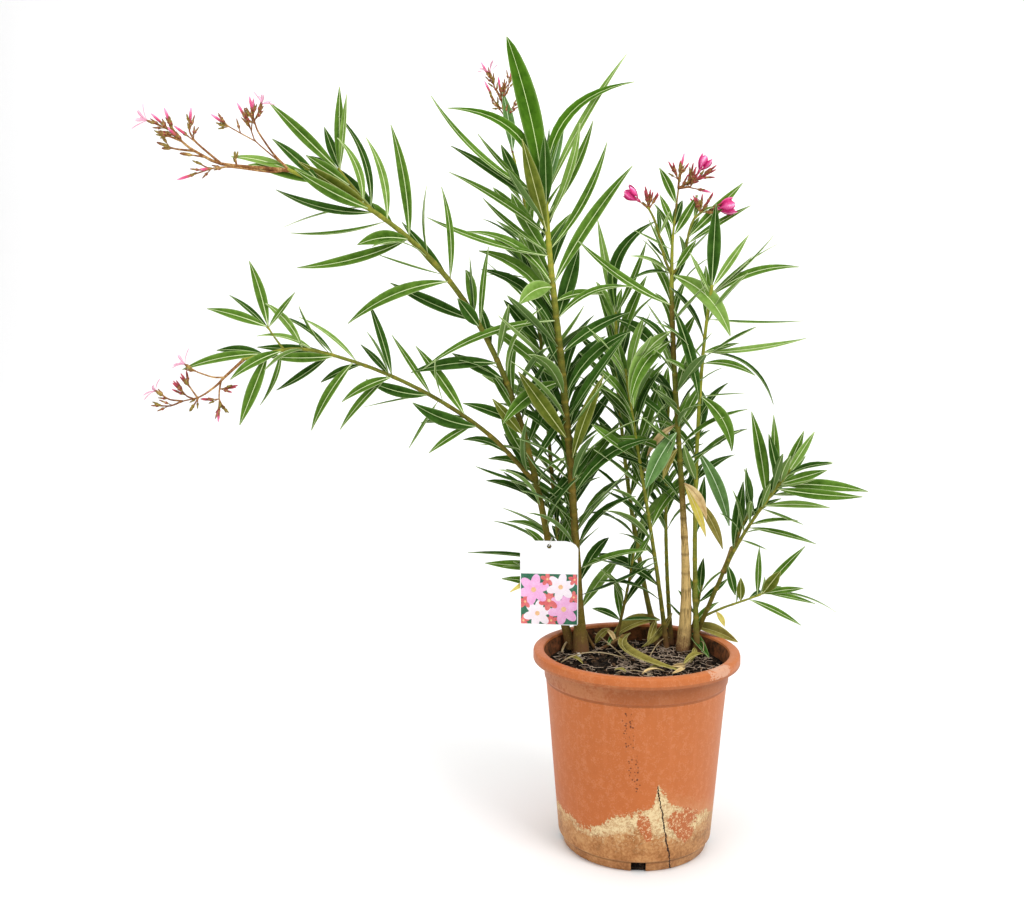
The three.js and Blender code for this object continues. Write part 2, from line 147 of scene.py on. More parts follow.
# How thick the bark is beside the plain solid's own radius, at shares of the limb's length.
GIRTHS = {
    "stem_tall": ((0.0, 0.94), (0.06, 0.86), (0.42, 0.86), (0.62, 1.04), (1.0, 1.04)),
    "stem_high_arch": ((0.0, 0.98), (0.45, 1.0), (0.78, 1.20), (1.0, 1.1)),
    "bough_low_arch": ((0.0, 1.0), (1.0, 0.95)),
    "stem_flowering": (
        (0.0, 1.08), (0.03, 1.10), (0.06, 1.06), (0.12, 1.02), (0.20, 0.86), (0.30, 0.72),
        (0.46, 0.68), (0.68, 0.88), (0.80, 0.88), (0.92, 0.52), (1.0, 0.48),
    ),
    "stem_right": ((0.0, 1.1), (0.2, 0.98), (1.0, 0.98)),
}
USUAL_GIRTH = ((0.0, 1.05), (0.06, 0.94), (1.0, 0.9))
BOUGH_PARENTS = {
    "bough_low_arch": "stem_high_arch",
    "bough_flowering_left": "stem_flowering",
    "bough_flowering_right": "stem_flowering",
}

# Thin shoots with no solid of their own: where they spring from, their lean and bearing there and at
# the tip, length and thickness in millimetres, and bark age. On a limb, start is a share of its length.
SHOOTS = {
    "shoot_low_spray": dict(limb="bough_low_arch", start=0.88, leave=(40, 180), arrive=(30, 178), length=34,
                            girth=(3.0, 2.2), age=(0.8, 0.95, 1.0)),
    "shoot_high_spray": dict(limb="stem_high_arch", start=0.86, leave=(40, 180), arrive=(36, 180), length=60,
                             girth=(5.6, 3.0), age=(0.8, 0.95, 1.0)),
    "shoot_behind_tall": dict(foot=(-45, 71), leave=(30, 184), arrive=(-4, 0), length=190, girth=(4.2, 2.8),
                              age=(0.5, 0.8, 1.0)),
    "shoot_side_fork": dict(limb="stem_side", start=0.56, leave=(10, -80), arrive=(40, -30), length=52,
                            girth=(3.6, 2.6), age=(0.5, 0.8, 1.0)),
    "shoot_right_low": dict(foot=(76, 62), leave=(10, 20), arrive=(14, 0), length=92, girth=(3.4, 2.2),
                            age=(0.5, 0.8, 1.0)),
    "shoot_stub": dict(foot=(-46, 70), leave=(66, -15), arrive=(48, -15), length=44, girth=(5.0, 4.4),
                       age=(0.1, 0.3, 1.0)),
    "shoot_cut_stub": dict(limb="stem_side", start=0.42, leave=(22, -20), arrive=(14, -20), length=34,
                           girth=(7.6, 7.2), age=(0.36, 0.30, 1.0)),
}


# -------------------- leaves

LEAF_ROWS = (0.0, 0.055, 0.16, 0.30, 0.45, 0.60, 0.75, 0.89, 1.0)
FINE_ROWS = (0.0, 0.035, 0.085, 0.15, 0.22, 0.30, 0.38, 0.46, 0.54, 0.62, 0.70, 0.78, 0.86, 0.93, 1.0)
LEAF_THICKNESS = 0.45 * MM
WHORL = 3                             # oleander leaves stand in threes, each three turned between the last

UPPER_SLACK = 14                      # millimetres

# The rule each shoot follows. bare: where its leaves begin, gaps: millimetres between whorls at the
# first, the middle and the last, blade: leaf length there first and last, splay: the leaf's angle off
# the shoot first and last, kept: the share of leaves not yet shed, young: where light new leaves begin,
# slack: how far the lower leaves may reach past the leafy solids, broad: how much wider than usual the
# blades are, upper: the slack of the leaves near the tip.
Habit = namedtuple("Habit", "bare gaps blade splay kept young slack broad upper", defaults=(1.0, UPPER_SLACK))
HABITS = {
    "stem_tall": Habit(0.1, (17, 16, 9), (112, 138), (68, 30), 0.95, 0.96, 46, 1.12),
    "stem_high_arch": Habit(0.15, (28, 30, 24), (104, 94), (56, 34), 0.9, 0.98, 30, 1.08),
    "bough_low_arch": Habit(0.04, (34, 38, 28), (92, 74), (52, 38), 0.75, 0.93, 14),
    "stem_back": Habit(0.14, (17, 20, 16), (108, 94), (62, 34), 0.95, 0.97, 44, 1.2),
    "stem_flowering": Habit(0.34, (25, 23, 20), (100, 56), (64, 28), 0.85, 0.9, 28, 1.12),
    "stem_right": Habit(0.32, (25, 28, 16), (100, 82), (66, 34), 0.8, 0.97, 24, 1.12),
    "stem_inner_back": Habit(0.2, (19, 18, 9), (100, 104), (62, 24), 0.95, 0.96, 40, 1.25),
    "stem_inner": Habit(0.18, (19, 18, 9), (92, 92), (62, 34), 0.95, 0.94, 40, 1.3),
    "stem_rear_right": Habit(0.2, (19, 18, 9), (92, 96), (60, 32), 0.95, 0.97, 36, 1.25),
    "stem_side": Habit(0.36, (18, 14, 7), (58, 76), (60, 32), 0.9, 0.98, 26),
    "stem_lowest": Habit(0.66, (22, 18, 9), (50, 58), (50, 34), 0.8, 0.9, 18),
    "stem_basal": Habit(0.3, (21, 15, 9), (68, 58), (66, 30), 0.85, 2.0, 40, 1.1),
    "bough_flowering_left": Habit(0.3, (26, 24, 20), (36, 38), (40, 28), 0.5, 0.4, 16),
    "bough_flowering_right": Habit(0.3, (26, 24, 20), (36, 40), (40, 28), 0.5, 0.4, 16),
    "shoot_behind_tall": Habit(0.3, (18, 15, 9), (80, 76), (56, 26), 0.9, 2.0, 30, 1.25),
    "shoot_side_fork": Habit(0.4, (16, 12, 7), (60, 66), (52, 24), 0.9, 0.9, 30, 1.0, 30),
    "shoot_right_low": Habit(0.4, (18, 14, 7), (48, 52), (58, 26), 0.95, 2.0, 90, 1.3, 90),
}
BARE_GAPS = (30, 26, 12)              # between the scars of a shoot that grows no leaves by rule
SCARS_FROM = 0.05                     # where a limb's first leaf scar stands
LEAF_ROOM = 22 * MM                   # no leaf grows this near to a placed one that points its way
LEAF_ALIKE = 0.86
FRONT_SHED = 1.0                      # the share of leaves shed that would hide their own stem

# The leaves that draw the plant's outline. Each row: its place along the limb, the lean and bearing of
# its tip seen from its base, length and width in millimetres, how far its upper side is turned from
# the sky (0) to the front (90), its bow upwards in percent of its length, and its kind.
Leaf = namedtuple("Leaf", "at lean bearing length width turned bow kind", defaults=("mature",))
OUTLINE_LEAVES = {
    "stem_tall": (
        (1.00, 14, 186, 188, 28, 90, 3, "fresh"), (0.99, 49, 183, 157, 15, 60, 21, "fresh"),
        (1.00, 40, -5, 166, 15, 62, 22, "fresh"), (1.00, 15, -4, 84, 11, 70, 0, "sage"),
        (0.99, 2, 0, 80, 8, 40, 0, "sage"), (0.99, 30, -2, 194, 11, 40, 3, "young"),
        (0.95, 26, 8, 128, 13, 60, -4), (0.935, 18, -12, 124, 13, 22, -5, "young"),
        (0.88, 28, 4, 148, 13, 50, -6), (0.81, 34, -3, 171, 18, 66, 3),
        (0.915, 20, 218, 114, 19, 90, 0, "olive"), (0.48, 41, 214, 113, 20, 88, 0, "olive"),
        (0.435, 24, -40, 117, 17, 84, 3, "olive"), (0.97, 12, -100, 82, 18, 90, 2, "shade_green"),
        (0.985, 50, 190, 182, 11, 42, -8), (0.96, 57, 185, 138, 14, 58, 2, "shade_green"),
        (0.91, 58, 180, 143, 13, 55, 3), (0.97, 44, 160, 128, 9, 32, -3),
        (0.875, 51, 166, 108, 10, 32, -4), (0.81, 60, 181, 125, 14, 58, 14),
        (0.865, 73, 184, 157, 11, 44, -4), (0.80, 114, 217, 56, 22, 90, 12, "young"),
        (0.77, 82, 18, 64, 13, 62, 8), (0.735, 68, -12, 100, 11, 46, 14),
        (0.735, 22, 40, 96, 21, 80, 0, "shade_green"), (0.73, 110, 190, 178, 12, 62, 8),
        (0.60, 124, 196, 92, 20, 82, 10), (0.66, 60, 14, 104, 15, 60, 6, "shade_green"),
    ),
    "stem_high_arch": (
        (0.86, 20, 180, 118, 10, 24, 11, "shade_green"), (0.875, 21, 190, 80, 10, 48, 11, "young"),
        (0.83, 14, 184, 98, 10, 48, 8, "young"), (0.785, 9, 175, 134, 14, 62, 4),
        (0.95, 48, 184, 71, 13, 72, 2, "shade_green"), (0.985, 76, 184, 77, 11, 62, 6, "young"),
        (0.95, 77, 192, 81, 17, 82, 4), (0.855, 59, 200, 102, 19, 90, 0, "olive"),
        (0.865, 68, 214, 98, 15, 88, -3), (0.855, 78, 190, 114, 14, 62, -7, "shade_green"),
        (0.87, 103, 176, 100, 8, 26, 4), (0.83, 97, 182, 114, 9, 32, -6),
        (0.785, 98, 200, 62, 18, 82, 8), (0.785, 105, 188, 136, 15, 76, -5),
        (0.85, 44, 152, 76, 14, 70, 0, "shade_green"), (0.69, 40, 165, 94, 13, 70, 0, "shade_green"),
        (0.69, 5, 180, 112, 9, 18, 5), (0.92, 63, 166, 56, 6, 30, 0),
        (0.69, 113, 194, 133, 17, 76, 8), (0.61, 66, 176, 116, 17, 66, -2, "shade_green"),
        (0.60, 44, 218, 46, 17, 80, 0, "shade_green"), (0.56, 18, 152, 56, 13, 70, 0, "shade_green"),
        (0.60, 6, 0, 96, 8, 16, 2), (0.53, 96, 190, 108, 17, 76, 5, "shade_green"),
        (0.50, 63, 186, 72, 15, 76, 0, "shade_green"), (0.42, 70, 190, 76, 14, 70, 3, "shade_green"),
        (0.40, 42, 206, 62, 15, 84, 0, "olive"), (0.17, 88, 165, 112, 10, 22, 2, "shade_green"),
        (0.155, 92, 152, 100, 14, 62, 0), (0.19, 45, 190, 42, 11, 62, 3),
        (0.15, 112, 198, 62, 9, 60, 4, "yellow"),
    ),
    "shoot_high_spray": (
        (1.0, 46, 180, 111, 15, 80, 0), (1.0, 1, 0, 94, 12, 66, 0),
        (0.98, 7, -20, 86, 9, 30, 0, "young"), (0.98, 22, 160, 54, 12, 80, 0, "shade_green"),
        (0.80, 60, 178, 52, 11, 60, 4, "shade_green"), (0.62, 56, 186, 60, 14, 76, 0),
    ),
    "bough_low_arch": (
        (0.94, 101, 185, 96, 13, 70, 5), (0.94, 86, 166, 61, 12, 60, 4, "shade_green"),
        (0.89, 119, 200, 68, 14, 76, 6), (0.93, 158, 190, 90, 16, 86, 0),
        (0.89, 157, 175, 70, 9, 32, -8), (0.75, 123, 180, 77, 12, 52, -3, "shade_green"),
        (0.80, 76, 190, 67, 10, 42, 10, "young"), (0.74, 84, 170, 97, 13, 62, 2, "shade_green"),
        (0.74, 90, 195, 77, 14, 76, -2), (0.74, 55, 175, 83, 9, 24, 8, "shade_green"),
        (0.67, 52, 181, 87, 8, 32, 6, "young"), (0.68, 148, 181, 97, 14, 62, 5),
        (0.56, 116, 195, 67, 13, 72, 6), (0.57, 138, 185, 88, 12, 52, 4),
        (0.44, 101, 180, 80, 7, 22, 0), (0.44, 75, 195, 78, 15, 80, -6, "shade_green"),
        (0.56, 17, 180, 92, 11, 46, 2, "shade_green"), (0.43, 33, 181, 87, 9, 38, 0),
        (0.31, 35, 185, 105, 14, 66, 2), (0.26, 69, 200, 88, 19, 80, -6, "shade_green"),
        (0.27, 122, 190, 67, 10, 56, 4), (0.40, 148, 181, 70, 6, 22, 0),
    ),
    "shoot_low_spray": (
        (1.0, 15, 180, 79, 13, 76, 3), (0.9, 49, 176, 61, 8, 32, 4, "shade_green"),
        (1.0, 73, 190, 71, 13, 66, 3), (0.95, 38, 0, 52, 8, 52, 0),
    ),
    "stem_back": (
        (1.0, 10, 185, 78, 15, 62, 2, "sage"), (0.93, 26, 188, 58, 14, 72, 0, "shade_green"),
        (0.68, 46, 180, 92, 7, 26, 0), (0.74, 86, 178, 76, 6, 18, 6),
        (0.62, 42, 190, 72, 17, 76, 0, "shade_green"),
    ),
    "stem_flowering": (
        (0.965, 26, 182, 48, 12, 76, 2), (0.92, 26, 190, 40, 9, 62, 0),
        (0.90, 30, -10, 56, 11, 80, 0), (0.82, 68, 186, 56, 8, 44, 10, "young"),
        (0.87, 62, 170, 54, 6, 30, 0), (0.755, 57, 190, 144, 13, 62, -5),
        (0.82, 100, 182, 50, 8, 40, 12, "shade_green"), (0.70, 152, 200, 110, 22, 86, 18, "young"),
        (0.68, 142, 206, 98, 18, 86, 14), (0.66, 30, 10, 52, 11, 60, 0),
        (0.745, 163, -30, 122, 15, 78, 4, "shade_green"), (0.485, 147, 206, 84, 23, 88, 5, "sage"),
        (0.815, 135, -32, 108, 22, 88, 12, "young"), (0.50, 139, 168, 54, 10, 74, 8, "dry"),
        (0.44, 122, 174, 52, 9, 60, 8, "withered"), (0.375, 141, -44, 56, 12, 76, 12, "dry"),
        (0.37, 157, -16, 72, 11, 84, 3, "yellow"), (0.45, 153, 200, 44, 10, 70, 8, "withered"),
    ),
    "bough_flowering_right": (
        (0.60, 45, -4, 92, 13, 70, 0), (0.50, 59, -2, 90, 9, 46, 2),
        (0.10, 35, -20, 43, 11, 62, 0),
    ),
    "stem_right": (
        (1.0, 2, 0, 100, 18, 86, 0, "shade_green"), (1.0, 34, -5, 75, 10, 62, 0, "young"),
        (0.98, 47, 5, 105, 6, 18, -4), (0.98, 54, 10, 105, 6, 18, 4),
        (0.98, 47, -10, 67, 6, 22, 0), (0.975, 72, 0, 113, 12, 52, 10),
        (0.98, 27, 180, 56, 7, 42, 0, "young"), (0.96, 19, 190, 52, 6, 42, 0, "young"),
        (0.91, 91, 0, 120, 9, 28, -3), (0.82, 82, -3, 128, 10, 62, -3, "young"),
        (0.82, 76, 10, 48, 9, 42, 0), (0.82, 127, -5, 110, 8, 32, 18, "shade_green"),
        (0.79, 103, -12, 66, 11, 52, 10), (0.70, 86, 5, 58, 6, 18, 0),
        (0.70, 150, -15, 80, 19, 86, 12), (0.55, 157, -10, 105, 18, 80, 5, "sage"),
        (0.42, 151, -25, 72, 13, 70, 5, "withered"), (0.33, 7, 0, 74, 14, 78, 0, "shade_green"),
    ),
    "stem_inner_back": (
        (1.0, 11, 180, 128, 12, 76, 0, "young"), (1.0, 23, 0, 134, 17, 70, 21, "shade_green"),
        (1.0, 22, -6, 103, 10, 52, -3), (0.98, 132, -5, 80, 19, 80, 12, "shade_green"),
    ),
    "stem_side": (
        (0.83, 11, 180, 110, 16, 76, 2), (0.90, 3, 180, 88, 12, 76, 0),
        (0.93, 14, 180, 60, 12, 80, 0, "shade_green"), (0.96, 22, 0, 60, 12, 76, 0),
        (0.98, 31, -6, 60, 11, 66, 0, "young"), (0.97, 73, -2, 58, 8, 32, 6),
        (0.93, 72, -10, 56, 13, 76, 0), (0.92, 95, 4, 111, 15, 70, 3),
        (0.90, 94, -12, 100, 13, 82, -2), (0.86, 87, 2, 77, 9, 42, 0),
        (0.80, 91, -4, 79, 10, 62, 4, "young"), (0.78, 111, 0, 55, 7, 22, 0),
        (0.67, 104, 2, 88, 9, 42, 3), (0.60, 111, 8, 36, 6, 22, 0),
        (0.82, 25, -24, 62, 16, 86, 0, "shade_green"), (0.54, 7, 0, 88, 16, 76, 0, "shade_green"),
        (0.46, 165, 0, 40, 12, 70, 0, "shade_green"),
    ),
    "stem_lowest": (
        (0.87, 1, 0, 67, 9, 62, 0), (0.90, 42, 0, 90, 11, 56, 2),
        (0.92, 35, -20, 40, 17, 86, 0, "olive"), (0.92, 83, 4, 58, 10, 62, 2),
        (0.98, 107, 0, 100, 6, 24, 8), (0.95, 101, -8, 68, 9, 42, 2),
        (0.78, 116, -6, 78, 10, 46, 3), (0.70, 1, 180, 32, 12, 80, 0, "olive"),
        (0.45, 150, 0, 24, 8, 70, 6, "yellow"),
    ),
}

# Fallen leaves on the compost and over its rim: base and tip in millimetres, width, how far the upper
# side is turned to the front, bow and swing in percent, and kind.
FALLEN_LEAVES = (
    ((44, 98, 260), (-22, 86, 237), 26, 40, 12, 0, "withered"),
    ((60, 96, 270), (15, 62, 233), 14, 85, -6, 0, "withered"),
    ((38, 92, 262), (24, 66, 234), 12, 70, 4, 0, "withered"),
    ((4, 98, 242), (50, -48, 235), 18, 45, 2, 25, "withered"),
    ((84, 102, 248), (95, 10, 234), 18, 50, 3, 4, "shade_green"),
    ((84, 98, 250), (137, 36, 247), 21, 30, 8, 4, "withered"),
    ((83, 39, 238), (68, -10, 234), 9, 60, 5, 0, "withered"),
    ((2, -54, 233), (30, -44, 234), 7, 20, 5, -16, "dry"),
    ((42, -26, 234), (60, -18, 233), 7, 70, 8, 20, "dry"),
    ((-30, -36, 233), (-18, -50, 234), 5, 30, 6, -14, "withered"),
    ((14, -30, 234), (30, -22, 233), 5, 30, 8, 16, "withered"),
    ((58, -16, 233), (88, 12, 238), 11, 30, 10, 0, "withered"),
    ((-45, 80, 233), (-26, 84, 252), 12, 70, 14, 10, "withered"),
    ((66, 118, 236), (90, 100, 240), 15, 40, 8, 0, "shade_green"),
    ((-86, 10, 234), (-68, -16, 234), 8, 30, 10, 0, "withered"),
    ((38, -56, 234), (56, -34, 234), 7, 40, 6, 14, "dry"),
    ((-20, 66, 238), (-30, 76, 252), 8, 80, 16, 0, "dry"),
    ((-30, 60, 236), (-10, 96, 240), 12, 30, 10, 0, "shade_green"),
)
STRAWS = (                            # dry stalks: start, middle and end in millimetres, and thickness
    ((-95, -7, 233), (-57, 6, 242), (-12, 5, 234), 1.7),
    ((-45, 100, 240), (-38, 76, 242), (-12, 8, 234), 1.8),
    ((18, 8, 234), (40, 60, 242), (60, 94, 236), 1.4),
    ((-92, 43, 231), (-84, 62, 240), (-74, 84, 234), 3.2),
    ((52, -40, 233), (64, -26, 240), (70, -8, 233), 1.1),
    ((88, 20, 233), (92, 40, 246), (84, 62, 234), 1.2),
    ((-30, -50, 233), (-10, -60, 239), (14, -58, 233), 1.0),
)


# -------------------- small helpers

def heading_of(lean, bearing):
    """A direction from its lean off upright and its bearing from +X, in degrees."""
    tilt, turn = math.radians(lean), math.radians(bearing)
    return Vector((math.sin(tilt) * math.cos(turn), math.sin(tilt) * math.sin(turn), math.cos(tilt)))


def mix(a, b, share):
    """The value a share of the way from one to another."""
    return a + (b - a) * share


def smooth(low, high, value):
    """An even rise from nought at the low value to one at the high one."""
    share = min(1.0, max(0.0, (value - low) / (high - low)))
    return share * share * (3 - 2 * share)


def between(knots, share):
    """A value read off a line of (share, value) knots."""
    for (low, first), (high, second) in zip(knots, knots[1:]):
        if share <= high:
            return mix(first, second, max(0.0, share - low) / (high - low))
    return knots[-1][1]


def square_to(vector, line):
    """The part of a vector that is square to a line."""
    line = line.normalized()
    return vector - line * vector.dot(line)


def make_object(bm, name, materials=(), flat=False):
    """Turns a bmesh into an object of the scene."""
    mesh = bpy.data.meshes.new(name)
    for face in bm.faces:
        face.smooth = not flat
    bm.to_mesh(mesh)
    bm.free()
    for material in materials:
        mesh.materials.append(material)
    made = bpy.data.objects.new(name, mesh)
    bpy.context.scene.collection.objects.link(made)
    return made


def make_piece(bm, name, materials, replaces=(), flat=False):
    """Turns a bmesh into a named piece that rides on the plant's one body."""
    made = make_object(bm, name, materials, flat)
    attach(made, "root")
    if replaces:
        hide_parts(*replaces)
    return made


# -------------------- limbs, read back from the frame

class Limb:
    """A limb's middle line and thickness, by distance along it."""

    def __init__(self, centres, radii, age):
        self.points, self.widths, self.age = [], [], age
        last = len(centres) - 1
        for i in range(last):
            start, end = centres[i], centres[i + 1]
            leave = (end - centres[max(0, i - 1)]) * (1.0 if i == 0 else 0.5)
            arrive = (centres[min(last, i + 2)] - start) * (1.0 if i == last - 1 else 0.5)
            for j in range(16):
                t = j / 16
                self.points.append(
                    (2 * t ** 3 - 3 * t ** 2 + 1) * start + (t ** 3 - 2 * t ** 2 + t) * leave
                    + (3 * t ** 2 - 2 * t ** 3) * end + (t ** 3 - t ** 2) * arrive
                )
                self.widths.append(mix(radii[i], radii[i + 1], t))
        self.points.append(centres[-1])
        self.widths.append(radii[-1])
        self.marks = [0.0]
        for before, after in zip(self.points, self.points[1:]):
            self.marks.append(self.marks[-1] + (after - before).length)
        self.length = self.marks[-1]

    def at(self, share):
        """Middle, heading and radius at a share of the limb's length."""
        goal = min(1.0, max(0.0, share)) * self.length
        low, high = 0, len(self.marks) - 2
        while low < high:
            middle = (low + high + 1) // 2
            low, high = (middle, high) if self.marks[middle] <= goal else (low, middle - 1)
        span = self.marks[low + 1] - self.marks[low]
        t = (goal - self.marks[low]) / span if span > 0 else 0.0
        heading = (self.points[low + 1] - self.points[low]).normalized()
        spot = self.points[low].lerp(self.points[low + 1], t)
        return spot, heading, mix(self.widths[low], self.widths[low + 1], t)

    def nearest_share(self, place):
        best = min(range(len(self.points)), key=lambda i: (self.points[i] - place).length_squared)
        return self.marks[best] / self.length


def read_limb(node):
    """Follows a limb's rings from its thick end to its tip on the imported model."""
    bm = bmesh.new()
    bm.from_mesh(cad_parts[node].data)
    bmesh.ops.remove_doubles(bm, verts=bm.verts, dist=1e-6)
    caps = []
    for vert in bm.verts:
        around = [edge.other_vert(vert).co for edge in vert.link_edges]
        middle = sum(around, Vector()) / len(around)
        if (middle - vert.co).length < 3e-5:
            caps.append((sum((co - vert.co).length for co in around) / len(around), vert))
    start = max(caps, key=lambda cap: cap[0])[1]
    centres, radii = [], []
    seen, ring = {start}, [start]
    while True:
        beyond = {edge.other_vert(vert) for vert in ring for edge in vert.link_edges} - seen
        if len(beyond) < 3:
            break
        seen |= beyond
        ring = list(beyond)
        centre = sum((vert.co for vert in ring), Vector()) / len(ring)
        centres.append(centre)
        radii.append(sum((vert.co - centre).length for vert in ring) / len(ring))
    bm.free()
    if node in BOUGH_PARENTS:
        bearer = LIMBS[BOUGH_PARENTS[node]]
        share = bearer.nearest_share(centres[0]) - 0.01
        centres.insert(0, bearer.at(share)[0])
        radii.insert(0, radii[0])
    return Limb(centres, radii, BARK_AGE[node])


def grow_shoot(limb=None, start=0.0, foot=None, leave=(0, 0), arrive=(0, 0), length=50, girth=(4, 3),
               age=(0, 1, 1)):
    """A thin shoot bent evenly from one heading to another."""
    origin = LIMBS[limb].at(start)[0] if limb else Vector((foot[0] * MM, foot[1] * MM, SOIL_TOP - 3 * MM))
    first, last = heading_of(*leave), heading_of(*arrive)
    steps = 8
    centres = [origin]
    for i in range(steps):
        centres.append(centres[-1] + first.lerp(last, (i + 0.5) / steps).normalized() * length * MM / steps)
    radii = [mix(girth[0], girth[1], i / steps) * MM / 2 for i in range(steps + 1)]
    return Limb(centres, radii, age)


LIMBS = {}
for limb_name in BARK_AGE:
    LIMBS[limb_name] = read_limb(limb_name)
for shoot_name, shoot in SHOOTS.items():
    LIMBS[shoot_name] = grow_shoot(**shoot)


# -------------------- the crown's extent

MASSES = [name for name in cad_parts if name.startswith("foliage_")]


def crown_tree():
    """One search tree over every leafy solid, to tell inside from outside."""
    bm = bmesh.new()
    for name in MASSES:
        bm.from_mesh(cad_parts[name].data)
    bmesh.ops.remove_doubles(bm, verts=bm.verts, dist=1e-6)
    tree = BVHTree.FromBMesh(bm)
    bm.free()
    return tree


CROWN = crown_tree()
LABEL_MARGIN = Vector((5, 12, 5)) * MM
LABEL_BOXES = [
    (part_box(name)[0] - LABEL_MARGIN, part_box(name)[1] + LABEL_MARGIN) for name in ("label_card", "label_loop")
]


def outside(place):
    """How far a place lies outside the leafy solids, nought inside one."""
    spot, normal, _, distance = CROWN.find_nearest(place)
    return 0.0 if (place - spot).dot(normal) < 0 else distance


# -------------------- shader helpers and groups

FLOAT, VECTOR = "NodeSocketFloat", "NodeSocketVector"


def add(tree, kind, **settings):
    """A shader node with its settings, and its inputs by name or number (in1, in2)."""
    made = tree.nodes.new(kind)
    for key, value in settings.items():
        if key.startswith("in") and key[2:].isdigit():
            made.inputs[int(key[2:])].default_value = value
        elif hasattr(made, key):
            setattr(made, key, value)
        else:
            made.inputs[key.replace("_", " ")].default_value = value
    return made


def wire(tree, *pairs):
    """Joins sockets, each pair a source and a target."""
    for source, target in pairs:
        tree.links.new(source, target)


def math_node(tree, operation, first, second=None, third=None, clamp=False):
    """One sum on shader values; each input is a socket or a plain number."""
    made = add(tree, "ShaderNodeMath", operation=operation, use_clamp=clamp)
    for socket, value in zip(made.inputs, (first, second, third)):
        if value is None:
            continue
        if isinstance(value, (int, float)):
            socket.default_value = value
        else:
            tree.links.new(value, socket)
    return made.outputs[0]


def times(tree, first, *rest):
    """The product of some shader values."""
    return math_node(tree, "MULTIPLY", first, times(tree, *rest)) if rest else first


def plus(tree, first, second):
    """The sum of two shader values."""
    return math_node(tree, "ADD", first, second)


def minus(tree, first, second):
    """The difference of two shader values."""
    return math_node(tree, "SUBTRACT", first, second)


def above(tree, first, second):
    """One where the first value is over the second, nought elsewhere."""
    return math_node(tree, "GREATER_THAN", first, second)


def below(tree, first, second):
    """One where the first value is under the second, nought elsewhere."""
    return math_node(tree, "LESS_THAN", first, second)


def rise(tree, value, start, gain):
    """How far a value stands above a start, times a gain and kept between nought and one."""
    return math_node(tree, "MULTIPLY", minus(tree, value, start), gain, clamp=True)


def sway(tree, mask, span):
    """A mask about one half turned into a shift about nought."""
    return times(tree, minus(tree, mask, 0.5), span)


def band(tree, value, limits):
    """One between two limits in millimetres, nought beyond them."""
    low, high = limits
    return times(tree, above(tree, value, low * MM), below(tree, value, high * MM))


def off_middle(tree, across):
    """How far a place across a blade or petal, from nought to one, lies from its middle."""
    return math_node(tree, "ABSOLUTE", minus(tree, across, 0.5))


def split(tree, kind):
    """The three parts of the piece's own coordinates, of the Object or the UV kind."""
    made = add(tree, "ShaderNodeSeparateXYZ")
    tree.links.new(tree.nodes["place"].outputs[kind], made.inputs[0])
    return made.outputs


def fade(tree, value, start, end, first, last):
    """A value's stretch from start to end, spread between two others and kept there."""
    made = add(tree, "ShaderNodeMapRange", in1=start, in2=end, in3=first, in4=last)
    tree.links.new(value, made.inputs[0])
    return made.outputs[0]


def new_group(name, inputs, outputs):
    """An empty shader node group with named sockets."""
    group = bpy.data.node_groups.new(name, "ShaderNodeTree")
    for label, (kind, value) in inputs.items():
        socket = group.interface.new_socket(label, in_out="INPUT", socket_type=kind)
        if value is not None:
            socket.default_value = value
    for label, kind in outputs.items():
        group.interface.new_socket(label, in_out="OUTPUT", socket_type=kind)
    return group, group.nodes.new("NodeGroupInput").outputs, group.nodes.new("NodeGroupOutput").inputs


def ramp(tree, value, stops):
    """The colour or number that a value takes on a line of stops."""
    made = tree.nodes.new("ShaderNodeValToRGB")
    tree.links.new(value, made.inputs["Fac"])
    elements = made.color_ramp.elements
    while len(elements) < len(stops):
        elements.new(0.5)
    for element, (place, colour) in zip(elements, stops):
        element.position = place
        element.color = (colour,) * 3 + (1,) if isinstance(colour, float) else (*colour, 1)
    return made.outputs["Color"]


def mottle_group():
    """Soft patches in two sizes, between nought and one."""
    group, given, result = new_group(
        "mottle",
        {"Vector": (VECTOR, None), "Scale": (FLOAT, 40.0), "Fine": (FLOAT, 6.0), "Contrast": (FLOAT, 1.6)},
        {"Mask": FLOAT},
    )
    broad = add(group, "ShaderNodeTexNoise", Detail=3.0, Roughness=0.55)
    small = add(group, "ShaderNodeTexNoise", Detail=4.0, Roughness=0.6)
    wire(
        group,
        (given["Vector"], broad.inputs["Vector"]),
        (given["Scale"], broad.inputs["Scale"]),
        (given["Vector"], small.inputs["Vector"]),
        (times(group, given["Scale"], given["Fine"]), small.inputs["Scale"]),
    )
    both = plus(group, broad.outputs["Fac"], small.outputs["Fac"])
    spread = times(group, minus(group, both, 1.0), given["Contrast"])
    wire(group, (math_node(group, "ADD", spread, 0.5, clamp=True), result["Mask"]))
    return group


def speck_group():
    """Small scattered spots: one inside a spot, nought between them."""
    group, given, result = new_group(
        "specks",
        {"Vector": (VECTOR, None), "Scale": (FLOAT, 300.0), "Size": (FLOAT, 0.18)},
        {"Mask": FLOAT},
    )
    cells = add(group, "ShaderNodeTexVoronoi")
    wire(group, (given["Vector"], cells.inputs["Vector"]), (given["Scale"], cells.inputs["Scale"]))
    wire(group, (below(group, cells.outputs["Distance"], given["Size"]), result["Mask"]))
    return group


